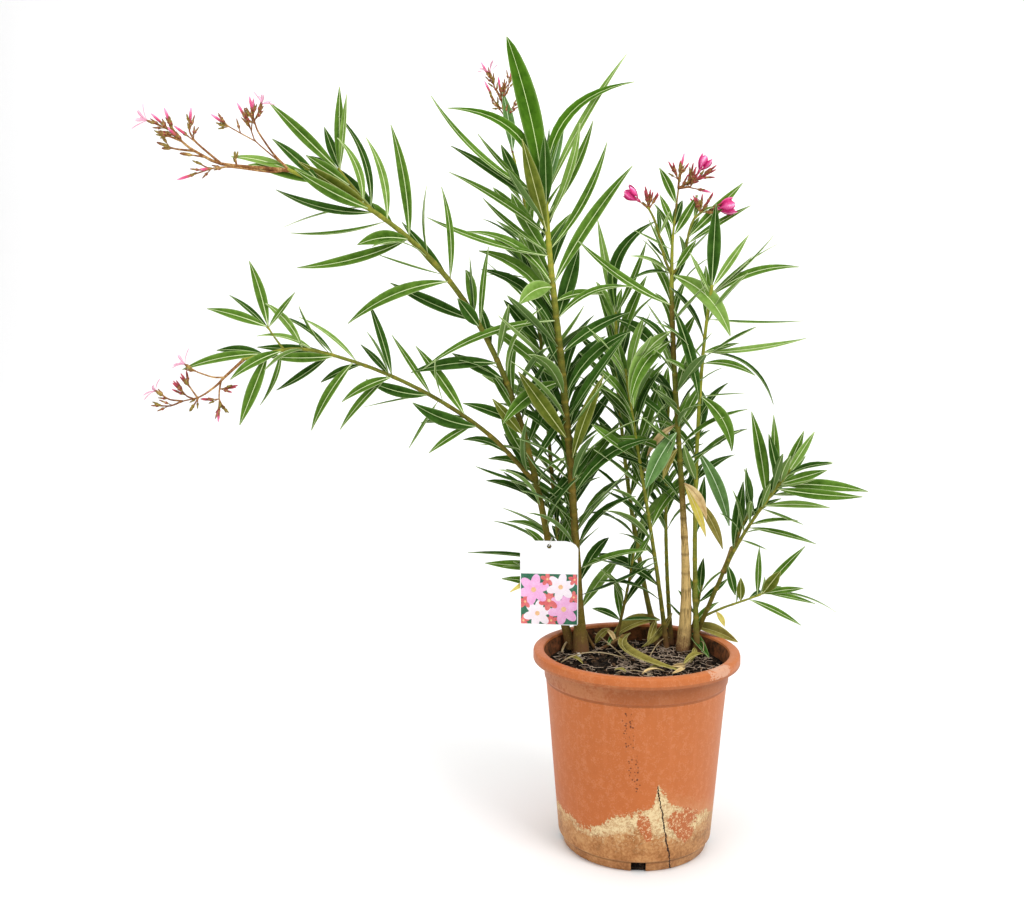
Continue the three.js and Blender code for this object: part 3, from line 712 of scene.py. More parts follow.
def grain_group():
    """Fine grain as a height for a Bump node."""
    group, given, result = new_group(
        "grain",
        {"Vector": (VECTOR, None), "Scale": (FLOAT, 400.0), "Stretch": (FLOAT, 1.0)},
        {"Height": FLOAT},
    )
    across = add(group, "ShaderNodeCombineXYZ", in0=1.0, in1=1.0)
    stretched = add(group, "ShaderNodeVectorMath", operation="MULTIPLY")
    pattern = add(group, "ShaderNodeTexNoise", Detail=4.0, Roughness=0.65)
    wire(
        group,
        (given["Stretch"], across.inputs[2]),
        (given["Vector"], stretched.inputs[0]),
        (across.outputs[0], stretched.inputs[1]),
        (stretched.outputs[0], pattern.inputs["Vector"]),
        (given["Scale"], pattern.inputs["Scale"]),
        (pattern.outputs["Fac"], result["Height"]),
    )
    return group


MOTTLE = mottle_group()
SPECKS = speck_group()
GRAIN = grain_group()


def use(tree, group, **settings):
    """Places a shader group on the piece's own coordinates."""
    made = tree.nodes.new("ShaderNodeGroup")
    made.node_tree = group
    tree.links.new(tree.nodes["place"].outputs["Object"], made.inputs["Vector"])
    for key, value in settings.items():
        made.inputs[key].default_value = value
    return made.outputs[0]


def blend(tree, share, first, second):
    """Mixes two colours; the share is a socket, each colour a socket or a plain colour."""
    made = add(tree, "ShaderNodeMix", data_type="RGBA")
    tree.links.new(share, made.inputs[0])
    for socket, colour in ((made.inputs[6], first), (made.inputs[7], second)):
        if isinstance(colour, tuple):
            socket.default_value = (*colour, 1)
        else:
            tree.links.new(colour, socket)
    return made.outputs[2]


def add_relief(tree, shader, height, strength, depth, under=None):
    """A bump by a height, over the relief under it if there is one; gives its normal."""
    bump = add(tree, "ShaderNodeBump", Strength=strength, Distance=depth)
    tree.links.new(height, bump.inputs["Height"])
    if under:
        tree.links.new(under, bump.inputs["Normal"])
    tree.links.new(bump.outputs["Normal"], shader.inputs["Normal"])
    return bump.outputs["Normal"]


def new_material(name, roughness, **settings):
    """A material with its Principled BSDF and the piece's own coordinates."""
    material = bpy.data.materials.new(name)
    material.use_nodes = True
    tree = material.node_tree
    shader = tree.nodes["Principled BSDF"]
    shader.inputs["Roughness"].default_value = roughness
    for key, value in settings.items():
        shader.inputs[key.replace("_", " ")].default_value = value
    add(tree, "ShaderNodeTexCoord", name="place")
    return material, tree, shader


def patchy(name, dark, light, roughness, scale=40.0, grain=(500.0, 0.15, 0.0006), middle=None, fine=6.0,
           contrast=1.6, stretch=1.0, **settings):
    """A surface that varies between colours in soft patches, its grain given by scale, strength and depth."""
    material, tree, shader = new_material(name, roughness, **{"Specular_IOR_Level": 0.15, **settings})
    patches = use(tree, MOTTLE, Scale=scale, Fine=fine, Contrast=contrast)
    stops = ((0.0, dark), middle, (1.0, light)) if middle else ((0.0, dark), (1.0, light))
    wire(tree, (ramp(tree, patches, stops), shader.inputs["Base Color"]))
    if grain:
        height = use(tree, GRAIN, Scale=grain[0], Stretch=stretch)
        add_relief(tree, shader, height, grain[1], grain[2])
    return material


# -------------------- leaf finishes

def blade_material(name, dark, light, margin, roughness, veins):
    """A leathery blade: soft patches of two greens, darker beside the midrib and lighter towards the edges as
    painted shade of its fold, fine side veins and a thin pale margin.
    """
    material, tree, shader = new_material(name, roughness, Specular_IOR_Level=0.035)
    patches = use(tree, MOTTLE, Scale=22.0, Contrast=1.6)
    aside = off_middle(tree, split(tree, "UV")[0])
    # painted shade: the blade is darker beside its midrib and lighter towards its edges, standing in for the
    # shading of its fold
    outward = times(tree, minus(tree, aside, 0.2), 1.3)
    tones = ramp(tree, plus(tree, patches, outward), ((0.0, dark), (1.0, light)))
    edge = ramp(tree, times(tree, aside, 2.0), ((0.0, 0.0), (0.84, 0.0), (0.96, 0.6), (1.0, 1.0)))
    wire(tree, (blend(tree, times(tree, edge, 0.5), tones, margin), shader.inputs["Base Color"]))
    turned = add(tree, "ShaderNodeMapping", Rotation=(0, 0, 0.5))
    lines = add(tree, "ShaderNodeTexWave", bands_direction="Y", Scale=16.0, Distortion=0.8)
    along_blade = tree.nodes["place"].outputs["UV"]
    wire(tree, (along_blade, turned.inputs["Vector"]), (turned.outputs[0], lines.inputs["Vector"]))
    fine = add_relief(tree, shader, use(tree, GRAIN, Scale=900.0), 0.12, 0.0004)
    add_relief(tree, shader, lines.outputs["Fac"], veins, 0.0005, fine)
    return material


def leaf_finishes(name, dark, light, rib, roughness=0.48):
    """Blade and midrib above, then blade and midrib below."""
    pale = tuple(mix(c, p, 0.4) for c, p in zip(light, (0.22, 0.32, 0.11)))
    margin = tuple(mix(c, r, 0.55) for c, r in zip(light, rib))
    return [
        blade_material(f"leaf_{name}", dark, light, margin, roughness, 0.3),
        patchy(f"midrib_{name}", tuple(0.85 * c for c in rib), rib, 0.5),
        blade_material(f"leaf_{name}_under", tuple(0.8 * c for c in pale), pale, margin, 0.6, 0.2),
        patchy(f"midrib_{name}_under", tuple(0.85 * c for c in rib), rib, 0.55),
    ]


LEAF_FINISHES = (
    leaf_finishes("mature", (0.034, 0.090, 0.006), (0.118, 0.232, 0.028), (0.64, 0.75, 0.38))
    # painted shade: a darker copy of the leaf green, blade and rib, for leaves inside the crown and in its
    # shadow
    + leaf_finishes("shade_green", (0.010, 0.036, 0.002), (0.046, 0.118, 0.014), (0.42, 0.54, 0.23))
    + leaf_finishes("young", (0.110, 0.215, 0.024), (0.235, 0.380, 0.082), (0.72, 0.82, 0.44), 0.42)
    + leaf_finishes("sage", (0.060, 0.138, 0.032), (0.150, 0.280, 0.084), (0.60, 0.74, 0.46), 0.42)
    + leaf_finishes("yellow", (0.560, 0.420, 0.040), (0.780, 0.680, 0.160), (0.75, 0.64, 0.34), 0.55)
    + leaf_finishes("withered", (0.120, 0.100, 0.016), (0.340, 0.290, 0.070), (0.56, 0.50, 0.18), 0.7)
    + leaf_finishes("olive", (0.058, 0.088, 0.007), (0.165, 0.195, 0.026), (0.60, 0.62, 0.26), 0.45)
    + leaf_finishes("fresh", (0.026, 0.082, 0.003), (0.072, 0.178, 0.010), (0.60, 0.74, 0.32), 0.42)
    + leaf_finishes("dry", (0.420, 0.260, 0.090), (0.820, 0.640, 0.330), (0.50, 0.33, 0.14), 0.75)
)
KINDS = {
    "mature": 0, "shade_green": 4, "young": 8, "sage": 12, "yellow": 16,
    "withered": 20, "olive": 24, "fresh": 28, "dry": 32,
}


# -------------------- making a leaf

def blade_half_width(share, blunt):
    """Half width of a blade along its length, as a share of its widest half."""
    if not 0 < share < 1:
        return 0.0
    return math.sin(math.pi * share ** mix(0.92, 1.12, blunt)) ** mix(0.9, 0.5, blunt)


def grow_leaf(bm, uv, base, chord, face_to, width, bow=0.05, kind="mature", fold=0.35, twist=0.0, swing=0.0,
              blunt=0.2, steps=LEAF_ROWS):
    """One blade: a small grid laid along a bowed line from its base to its tip."""
    rows = len(steps) - 1
    made = bmesh.ops.create_grid(bm, x_segments=5, y_segments=rows, size=1.0)["verts"]
    length = chord.length
    lifted = square_to(UP, chord)
    lifted = lifted.normalized() if lifted.length > 0.02 else square_to(FRONT, chord).normalized()
    sideways = chord.cross(lifted).normalized()
    line = [
        base + chord * t + (lifted * bow + sideways * swing) * length * 4 * t * (1 - t)
        for t in steps
    ]
    spots = {}
    for vert in made:
        column = round((vert.co.x + 1) * 2.5)
        row = round((vert.co.y + 1) * rows / 2)
        spots[vert] = (row, column)
        share = steps[row]
        along = (line[min(rows, row + 1)] - line[max(0, row - 1)]).normalized()
        face = square_to(face_to, along).normalized()
        face.rotate(Matrix.Rotation(twist * share, 3, along))
        across = along.cross(face)
        rib = mix(0.64, 0.24, share) * MM * min(1.0, width / (12 * MM))
        half = max(rib + 0.25 * MM, 0.5 * width * blade_half_width(share, blunt))
        place = (half, mix(rib, half, 0.5), rib)[min(column, 5 - column)] * (-1 if column < 3 else 1)
        vert.co = line[row] + across * (place * math.cos(fold)) + face * (abs(place) * math.sin(fold) * 0.85)
    for grid_face in {face for vert in made for face in vert.link_faces}:
        corners = [spots[loop.vert] for loop in grid_face.loops]
        is_rib = min(column for _, column in corners) == 2
        grid_face.material_index = KINDS[kind] + is_rib
        for loop, (row, column) in zip(grid_face.loops, corners):
            loop[uv].uv = (column / 5, steps[row] * length / (30 * MM))


def between_sides(side, other, angle):
    """The direction turned by an angle from one side towards the other."""
    return side * math.cos(angle) + other * math.sin(angle)


def limb_sides(heading):
    """Two directions square to a heading, the first of them level."""
    level = heading.cross(UP)
    level = level.normalized() if level.length > 0.05 else Vector((1, 0, 0))
    return level, level.cross(heading).normalized()


def whorls(limb, bare, gaps, rng):
    """Shares of the limb's length at which its leaves stand, closer together towards the tip."""
    first, middle, last = gaps
    place = bare * limb.length
    while place < limb.length - 2 * MM:
        share = place / limb.length
        yield share
        t = (share - bare) / (1 - bare)
        gap = mix(first, middle, t / 0.6) if t < 0.6 else mix(middle, last, (t - 0.6) / 0.4)
        place += gap * MM * rng.uniform(0.88, 1.12)


def kind_of(share, young, rng):
    """The finish of a grown leaf, by its place along the limb."""
    if share > young and rng.random() < 0.75:
        return "young"
    roll = rng.random()
    if roll < 0.04:
        return "young"
    # painted shade: lower on the limb, deeper in the crown, more leaves take the darker shaded copy
    return "shade_green" if roll < mix(0.80, 0.30, share) else "mature"


def clear_of_label(place):
    """Whether a place leaves the hanging label's front free."""
    return not any(
        low.x < place.x < high.x and low.z < place.z < high.z and place.y < high.y
        for low, high in LABEL_BOXES
    )


def hangs_before(going, heading):
    """Whether a leaf would hide its own stem from the front."""
    leaf, stem = Vector((going.x, going.z)), Vector((heading.x, heading.z))
    return going.y < 0 and leaf.length > 0 and leaf.normalized().dot(stem.normalized()) > 0.9


def leaf_fits(base, chord, bow, slack):
    """Whether a leaf keeps to the crown's outline and off the label."""
    lift = square_to(UP, chord) * bow * chord.length * 4
    spots = [base + chord * t + lift * t * (1 - t) for t in (0.2, 0.35, 0.5, 0.65, 0.8, 1.0)]
    return all(outside(spot) < slack for spot in spots[2:]) and all(clear_of_label(spot) for spot in spots)


def grow_outline(bm, uv, name, rng):
    """The leaves of a limb that draw the plant's outline; gives where each stands and where it points."""
    limb = LIMBS[name]
    taken = []
    for row in OUTLINE_LEAVES.get(name, ()):
        leaf = Leaf(*row)
        spot, heading, radius = limb.at(leaf.at)
        chord = heading_of(leaf.lean, leaf.bearing) * leaf.length * MM
        face_to = between_sides(UP, FRONT, math.radians(leaf.turned))
        outward = square_to(chord, heading).normalized() * 0.7
        if chord.y < 0 and leaf.turned > 40:
            outward += square_to(FRONT, heading).normalized() * 0.8
        base = spot + outward * radius
        grow_leaf(bm, uv, base, chord, face_to, leaf.width * 1.03 * MM, leaf.bow / 100, leaf.kind,
                  fold=rng.uniform(0.25, 0.5), twist=rng.uniform(-0.3, 0.3),
                  blunt=smooth(18, 34, leaf.width), steps=FINE_ROWS)
        taken.append((leaf.at * limb.length, chord.normalized()))
    return taken


def shorten(spot, going, length, bow, slack):
    """The longest of three lengths at which a leaf fits, or nothing."""
    for share in (1.0, 0.86, 0.72):
        if leaf_fits(spot, going * length * share, bow, slack):
            return share
    return None


def grow_by_rule(bm, uv, limb, habit, taken, rng):
    """The rule's own leaves of a limb, wherever there is room."""
    turn = rng.uniform(0, 2 * math.pi)
    for share in whorls(limb, habit.bare, habit.gaps, rng):
        turn += math.pi / WHORL
        t = (share - habit.bare) / (1 - habit.bare)
        here = share * limb.length
        spot, heading, radius = limb.at(share)
        level, raised = limb_sides(heading)
        slack = mix(habit.slack, habit.upper, smooth(0.3, 0.75, share)) * MM
        for i in range(WHORL):
            azimuth = turn + 2 * math.pi * i / WHORL + rng.uniform(-0.22, 0.22)
            splay = math.radians(mix(*habit.splay, t) + rng.uniform(-9, 9))
            length = mix(*habit.blade, t) * rng.uniform(0.8, 1.08) * MM
            bow = rng.uniform(-0.04, 0.14)
            if rng.random() > habit.kept:
                continue
            radial = between_sides(level, raised, azimuth)
            going = heading * math.cos(splay) + radial * math.sin(splay) + UP * rng.uniform(-0.12, 0.18)
            going.normalize()
            if any(abs(mark - here) < LEAF_ROOM and going.dot(aim) > LEAF_ALIKE for mark, aim in taken):
                continue
            if hangs_before(going, heading) and rng.random() < FRONT_SHED:
                continue
            shorter = shorten(spot, going, length, bow, slack)
            if shorter is None:
                continue
            to_light = rng.uniform(0.5, 1.1) if rng.random() < 0.45 else rng.uniform(-0.1, 0.35)
            face_to = square_to(heading, going).normalized() * 0.7 + UP * 0.45 + FRONT * to_light
            width = (length * rng.uniform(0.095, 0.135) + 2.4 * MM) * habit.broad
            grow_leaf(bm, uv, spot + radial * radius * 0.7, going * length * shorter, face_to,
                      width, bow, kind_of(share, habit.young, rng), fold=rng.uniform(0.2, 0.5),
                      twist=rng.uniform(-0.6, 0.6), swing=rng.uniform(-0.07, 0.07),
                      blunt=rng.uniform(0.0, 0.45))


def grow_leaves(bm, uv, name):
    """Leaves of one limb: those that draw the outline, then the rule's own."""
    rng = random.Random(f"leaves of {name}")
    taken = grow_outline(bm, uv, name, rng)
    if name in HABITS:
        grow_by_rule(bm, uv, LIMBS[name], HABITS[name], taken, rng)


def leaf_piece(name, limbs, replaces):
    """The joined leaves of some limbs, thin sheets with a paler underside."""
    bm = bmesh.new()
    uv = bm.loops.layers.uv.new("blade")
    for limb in limbs:
        grow_leaves(bm, uv, limb)
    return finish_leaves(bm, name, replaces)


def finish_leaves(bm, name, replaces=()):
    """Makes a piece of blades, each a thin sheet with its own underside."""
    made = make_piece(bm, name, LEAF_FINISHES, replaces)
    sheet = made.modifiers.new("blade thickness", "SOLIDIFY")
    sheet.thickness = LEAF_THICKNESS
    sheet.offset = -1
    sheet.material_offset = 2
    sheet.material_offset_rim = 1
    return made


# -------------------- bark

def bark_material():
    """Bark from tan wood, through brown and olive, to yellow-green young stem, by its age along the limb."""
    material, tree, shader = new_material("bark", 0.7, Specular_IOR_Level=0.08)
    age = split(tree, "UV")[1]
    scar = add(tree, "ShaderNodeAttribute", attribute_name="scar")
    patches = use(tree, MOTTLE, Scale=80.0, Contrast=2.4)
    colour = ramp(tree, plus(tree, age, sway(tree, patches, 0.2)), (
        (0.0, (0.700, 0.490, 0.190)), (0.14, (0.600, 0.405, 0.150)), (0.28, (0.300, 0.210, 0.064)),
        (0.44, (0.160, 0.116, 0.018)), (0.60, (0.112, 0.114, 0.017)), (0.80, (0.190, 0.210, 0.032)),
        (1.0, (0.310, 0.335, 0.042)),
    ))
    rings = ramp(tree, age, (
        (0.0, (0.120, 0.060, 0.022)), (0.30, (0.110, 0.060, 0.018)), (0.5, (0.300, 0.200, 0.034)),
        (1.0, (0.440, 0.370, 0.050)),
    ))
    woody = ramp(tree, age, ((0.0, 0.75), (0.3, 0.55), (0.6, 0.35), (1.0, 0.2)))
    streaks = rise(tree, use(tree, GRAIN, Scale=420.0, Stretch=0.09), 0.5, 7.0)
    colour = blend(tree, times(tree, streaks, woody), colour, (0.085, 0.050, 0.014))
    spots = use(tree, SPECKS, Scale=620.0, Size=0.2)
    colour = blend(tree, times(tree, spots, 0.35), colour, (0.42, 0.33, 0.12))
    colour = blend(tree, times(tree, scar.outputs["Fac"], 0.6), colour, rings)
    foot = fade(tree, split(tree, "Object")[2], SOIL_TOP + 3 * MM, SOIL_TOP + 40 * MM, 1.0, 0.0)
    uneven = math_node(tree, "MULTIPLY_ADD", patches, 0.7, 0.5)
    soiled = math_node(tree, "MULTIPLY", foot, uneven, clamp=True)
    colour = blend(tree, soiled, colour, (0.185, 0.084, 0.040))
    wire(tree, (colour, shader.inputs["Base Color"]))
    ridges = use(tree, GRAIN, Scale=520.0, Stretch=0.25)
    add_relief(tree, shader, ridges, 0.7, 0.0014)
    return material


def follow(points):
    """Two directions square to a line at each of its points, without twist."""
    frames = []
    side = None
    for i in range(len(points)):
        along = (points[min(len(points) - 1, i + 1)] - points[max(0, i - 1)]).normalized()
        side = limb_sides(along)[0] if side is None else square_to(side, along).normalized()
        frames.append((side, along.cross(side)))
    return frames


def grow_tube(bm, uv, points, radii, ages, sides, scars=None):
    """A tube along a line: a grid rolled up, its seam and ends closed later."""
    rows = len(points) - 1
    marked = bm.verts.layers.float.get("scar") if scars else None
    made = bmesh.ops.create_grid(bm, x_segments=sides, y_segments=rows, size=1.0)["verts"]
    frames = follow(points)
    spots = {}
    for vert in made:
        column = round((vert.co.x + 1) * sides / 2)
        row = round((vert.co.y + 1) * rows / 2)
        spots[vert] = (row, column)
        turn = 2 * math.pi * (column % sides) / sides
        radius = radii[row] if isinstance(radii[row], float) else radii[row](turn)
        vert.co = points[row] + between_sides(*frames[row], turn) * radius
        if marked:
            vert[marked] = scars[row]
    for face in {face for vert in made for face in vert.link_faces}:
        for loop in face.loops:
            row, column = spots[loop.vert]
            loop[uv].uv = (column / sides, ages[row])


def close_tubes(bm):
    """Joins the seams of rolled tubes and closes their ends."""
    bmesh.ops.remove_doubles(bm, verts=bm.verts, dist=2e-6)
    bmesh.ops.holes_fill(bm, edges=[edge for edge in bm.edges if edge.is_boundary], sides=0)
    bmesh.ops.recalc_face_normals(bm, faces=bm.faces)


def scar_share(limb, share, marks):
    """How close a place is to a leaf scar, one upon it."""
    return min(1.0, sum(math.exp(-((share - mark) * limb.length / (1.5 * MM)) ** 2) for mark in marks))


def bark_radii(limb, name, share, scar):
    """Radius of the bark round a limb: slow swellings and a raised ring at each leaf scar."""
    radius = limb.at(share)[2] * between(GIRTHS.get(name, USUAL_GIRTH), share)
    phase = len(name)

    def around(turn):
        along = share * limb.length / (14 * MM) + phase
        ripple = noise.noise(Vector((math.cos(turn), math.sin(turn), along)))
        return radius * (1 + 0.08 * ripple) + scar * NODE_SWELL * (0.75 + 0.25 * math.cos(3 * turn + phase))

    return around


def grow_bark(bm, uv, name):
    """One limb's bark, with its scars, its ages and a rounded tip."""
    limb = LIMBS[name]
    rows = max(6, round(limb.length / BARK_STEP))
    gaps = HABITS[name].gaps if name in HABITS else BARE_GAPS
    marks = list(whorls(limb, SCARS_FROM, gaps, random.Random(f"scars of {name}")))
    shares = [i / rows for i in range(rows + 1)]
    points = [limb.at(share)[0] for share in shares]
    scars = [scar_share(limb, share, marks) for share in shares]
    radii = [bark_radii(limb, name, share, scar) for share, scar in zip(shares, scars)]
    foot, tip, late = limb.age
    knots = AGE_KNOTS.get(name)
    ages = [between(knots, share) if knots else mix(foot, tip, share ** late) for share in shares]
    end_point, heading, radius = limb.at(1.0)
    points.append(end_point + heading * radius * 0.8)
    radii.append(radius * 0.4)
    ages.append(ages[-1])
    scars.append(0.0)
    grow_tube(bm, uv, points, radii, ages, BARK_SIDES, scars)


BARK = bark_material()


def bark_mesh():
    """An empty mesh that can carry scars and ages."""
    bm = bmesh.new()
    bm.verts.layers.float.new("scar")
    return bm, bm.loops.layers.uv.new("age")


def limb_piece(name):
    """The bark of one stem or bough, in place of its plain solid."""
    bm, uv = bark_mesh()
    grow_bark(bm, uv, name)
    close_tubes(bm)
    make_piece(bm, f"{name}_bark", [BARK], [name])


def shoots_piece():
    """The bark of the thin shoots that have no solid of their own."""
    bm, uv = bark_mesh()
    for name in SHOOTS:
        grow_bark(bm, uv, name)
    close_tubes(bm)
    make_piece(bm, "thin_shoots", [BARK])


# -------------------- flower trusses

# A truss is a stalk that forks. Each stalk: the stalk it springs from (-1: the limb's tip) and where,
# counted in that stalk's stretches; its own stretches as lean, bearing and length; what ends it; and
# how many smaller buds stand by that end.
TRUSSES = (
    dict(name="flowers_high_outer", limb="stem_high_arch", solids=["truss_high_outer"], girth=2.5, stalks=(
        (-1, 0, ((86, 184, 80), (61, 184, 38), (47, 182, 22), (48, 182, 14)), "pink", 3),
        (0, 1.0, ((50, 182, 38), (29, 180, 13), (-6, 180, 8)), "pink", 4),
        (1, 1.0, ((53, 186, 12),), "pink", 1),
        (0, 2.6, ((33, 176, 20),), "brown", 2),
        (0, 3.6, ((69, 186, 16),), "open", 2),
        (0, 2.5, ((70, 190, 14), (84, 184, 8)), "olive", 3),
        (0, 1.8, ((83, 172, 24), (70, 176, 9)), "spent", 2),
        (0, 1.45, ((84, 192, 14),), "spent", 1),
        (0, 0.05, ((100, 186, 17), (83, 186, 46), (94, 184, 18), (108, 182, 24)), "pink", 2),
        (8, 3.2, ((65, 184, 14),), "olive", 2),
        (8, 2.9, ((98, 186, 4),), "pink", 1),
        (8, 2.3, ((104, 180, 5),), "brown", 1),
        (0, 0.75, ((5, 180, 9),), "olive", 2),
        (0, 3.0, ((20, 178, 14),), "pink", 2),
        (0, 2.2, ((46, 186, 11),), "pink", 2),
        (0, 2.9, ((76, 190, 10),), "brown", 2),
    )),
    dict(name="flowers_high_inner", limb="stem_high_arch", solids=["truss_high_inner"], girth=1.5, stalks=(
        (-1, 0, ((45, 184, 26), (34, 184, 30), (17, 182, 12), (10, 182, 10)), "pink", 2),
        (0, 3.0, ((25, 0, 12),), "open", 2),
        (0, 0.3, ((53, 182, 12), (50, 182, 31), (18, 182, 11), (17, 182, 16)), "brown", 2),
        (2, 3.0, ((5, 0, 16),), "pink", 1),
        (2, 2.0, ((62, 184, 20), (61, 184, 12), (56, 184, 8)), "pink", 2),
        (4, 1.0, ((14, 180, 5),), "brown", 0),
        (4, 2.2, ((80, 186, 5),), "olive", 2),
        (0, 2.6, ((30, 186, 11),), "brown", 2),
        (2, 3.4, ((28, 184, 9),), "pink", 2),
    )),
    dict(name="flowers_low", limb="bough_low_arch", solids=["truss_low"], girth=2.0, stalks=(
        (-1, 0, ((132, 184, 33), (138, 184, 10), (127, 186, 17), (119, 186, 11), (102, 186, 18)), "none", 0),
        (0, 5.0, ((84, 186, 15), (56, 184, 10)), "open", 2),
        (0, 1.0, ((90, 184, 13), (71, 184, 19), (57, 184, 8)), "open", 2),
        (0, 1.4, ((168, 184, 11), (176, 184, 11), (153, 0, 10)), "olive", 2),
        (3, 2.0, ((92, 188, 6),), "red", 2),
        (3, 2.0, ((176, 184, 9),), "pink", 2),
        (3, 0.9, ((84, 0, 5),), "red", 2),
        (0, 4.0, ((34, 186, 11), (32, 186, 8)), "red", 2),
        (0, 4.3, ((69, 182, 8), (40, 182, 8)), "red", 2),
        (0, 5.0, ((113, 188, 15), (88, 186, 13)), "brown", 3),
        (0, 3.9, ((150, 186, 11),), "olive", 3),
    )),
    dict(name="flowers_back", limb="stem_back", solids=["truss_back"], girth=1.6, stalks=(
        (-1, 0, ((14, 184, 28), (12, 182, 24), (10, 180, 20), (8, 180, 8)), "pink", 4),
        (0, 1.9, ((37, 186, 16), (28, 184, 16)), "pink", 5),
        (0, 2.8, ((29, 184, 16), (19, 182, 16)), "open", 4),
        (2, 1.4, ((30, 184, 14),), "pink", 3),
        (0, 2.7, ((24, -4, 16), (14, 0, 14)), "pink", 4),
        (0, 1.9, ((48, -6, 18),), "brown", 3),
        (0, 2.3, ((60, 180, 8),), "olive", 2),
        (0, 3.2, ((20, 0, 12),), "brown", 3),
    )),
    dict(name="flowers_middle", limb="stem_flowering", solids=["truss_middle"], girth=1.8, stalks=(
        (-1, 0, ((2, 0, 12), (4, 0, 8)), "red", 4),
        (-1, 0, ((62, 0, 16), (66, -6, 12)), "red", 4),
        (1, 1.0, ((10, 0, 9),), "red", 2),
        (1, 1.4, ((32, -20, 10),), "cup", 0),
        (-1, 0, ((86, -20, 15), (30, 0, 5)), "red", 4),
        (4, 0.8, ((104, -10, 12),), "pink", 1),
        (0, 0.8, ((30, 182, 11),), "red", 3),
        (1, 2.0, ((64, 0, 8),), "red", 3),
        (0, 1.4, ((12, 0, 8),), "pink", 2),
    )),
    dict(name="flowers_left", limb="bough_flowering_left", solids=["truss_left"], girth=1.4, stalks=(
        (-1, 0, ((52, 184, 13),), "cup", 1),
        (-1, 0, ((14, 184, 8),), "red", 2),
        (-1, 0, ((4, 0, 10),), "red", 2),
        (-1, 0, ((34, 0, 7),), "red", 1),
    )),
    dict(name="flowers_right", limb="bough_flowering_right", solids=["truss_right"], girth=1.4, stalks=(
        (-1, 0, ((5, 0, 8),), "red", 3),
        (-1, 0, ((34, 0, 13),), "red", 3),
        (-1, 0, ((78, -6, 15),), "bell", 2),
        (-1, 0, ((24, 184, 7),), "red", 2),
    )),
)
BUD_SIDES = 6
BUD_CROWD = 1.4                       # how many small buds stand by an end for each one listed
STALK_STEPS = 4
# length and width in millimetres and colour of each kind of bud, a cup's being its narrow throat
BUD_FORMS = {
    "olive": (8, 2.4, 0), "brown": (11, 2.3, 4), "spent": (13, 4.0, 4), "red": (15, 3.1, 1),
    "pink": (20, 3.6, 2), "open": (11, 3.6, 4), "cup": (11, 4.4, 3), "bell": (13, 4.6, 3),
}
RED_CALYX = ("red", "cup", "bell", "brown")


def grow_bud(bm, base, heading, length, width, material):
    """A pointed bud: a small globe drawn out along its heading."""
    made = bmesh.ops.create_uvsphere(bm, u_segments=BUD_SIDES, v_segments=5, radius=1.0)["verts"]
    along = heading.normalized()
    side, other = limb_sides(along)
    heights = [(vert.co.z + 1) / 2 for vert in made]
    for vert, height in zip(made, heights):
        shape = (1 - height) ** 0.55 * height ** 0.42 * 1.9
        angle = math.atan2(vert.co.y, vert.co.x) + height * 1.4
        reach = width / 2 * shape if 0 < height < 1 else 0.0
        vert.co = base + along * (height * length) + between_sides(side, other, angle) * reach
    paint(bm, made, {vert: (0.5, height) for vert, height in zip(made, heights)}, material)


def paint(bm, verts, spots, material):
    """Gives the faces round some corners one finish and each corner its place on it."""
    uv = bm.loops.layers.uv.active
    for face in {face for vert in verts for face in vert.link_faces}:
        face.material_index = material
        for loop in face.loops:
            loop[uv].uv = spots[loop.vert]


def grow_petal(bm, base, heading, face_to, length, width, curl, material):
    """A strap-shaped petal that widens to a blunt end and curls back."""
    made = bmesh.ops.create_grid(bm, x_segments=2, y_segments=5, size=1.0)["verts"]
    along = heading.normalized()
    face = square_to(face_to, along).normalized()
    across = along.cross(face)
    spots = {vert: ((vert.co.x + 1) / 2, (vert.co.y + 1) / 2) for vert in made}
    for vert in made:
        share = (vert.co.y + 1) / 2
        half = width / 2 * (0.22 + 0.78 * smooth(0, 0.75, share)) * (1 - 0.45 * smooth(0.85, 1.0, share))
        cup = (1 - vert.co.x ** 2) * half * 0.35
        vert.co = (
            base + along * (share * length * (1 - 0.25 * abs(curl) * share)) + across * (vert.co.x * half)
            + face * (curl * length * share ** 2 - cup)
        )
    paint(bm, made, spots, material)


def grow_sepals(bm, base, heading, length, material, rng):
    """The five sepals round a bud's foot."""
    for i in range(5):
        side, other = limb_sides(heading)
        turn = 2 * math.pi * i / 5 + rng.uniform(-0.2, 0.2)
        out = between_sides(side, other, turn)
        grow_bud(bm, base + out * 0.5 * MM, heading + out * 0.28, length, 1.1 * MM, material)


def grow_end(buds, petals, base, aim, end, rng):
    """What stands at a stalk's end: a bud in its calyx, or an open flower."""
    if end == "none":
        return
    length, width, colour = BUD_FORMS[end]
    grow_sepals(buds, base, aim, min(5.5, 0.4 * length) * MM, 1 if end in RED_CALYX else 0, rng)
    scale = rng.uniform(0.9, 1.12)
    grow_bud(buds, base, aim, length * scale * MM, width * MM, colour)
    if end == "open":
        grow_straps(petals, base + aim * length * 0.8 * MM, aim, 18 * MM, rng)
    elif end == "cup":
        grow_cup(petals, base + aim * 5 * MM, aim, 18 * MM, 8.4 * MM, rng)
    elif end == "bell":
        grow_cup(petals, base + aim * 7 * MM, aim, 21 * MM, 10.5 * MM, rng)


def grow_straps(petals, mouth, aim, length, rng):
    """Five thin pale petals, spread and curling."""
    side, other = limb_sides(aim)
    for i in range(5):
        turn = 2 * math.pi * i / 5 + rng.uniform(-0.3, 0.3)
        out = between_sides(side, other, turn)
        going = aim * rng.uniform(0.5, 1.0) + out * rng.uniform(0.4, 0.9)
        grow_petal(petals, mouth, going, -out, length * rng.uniform(0.8, 1.15), 3.8 * MM,
                   rng.uniform(-0.4, -0.1), 0)


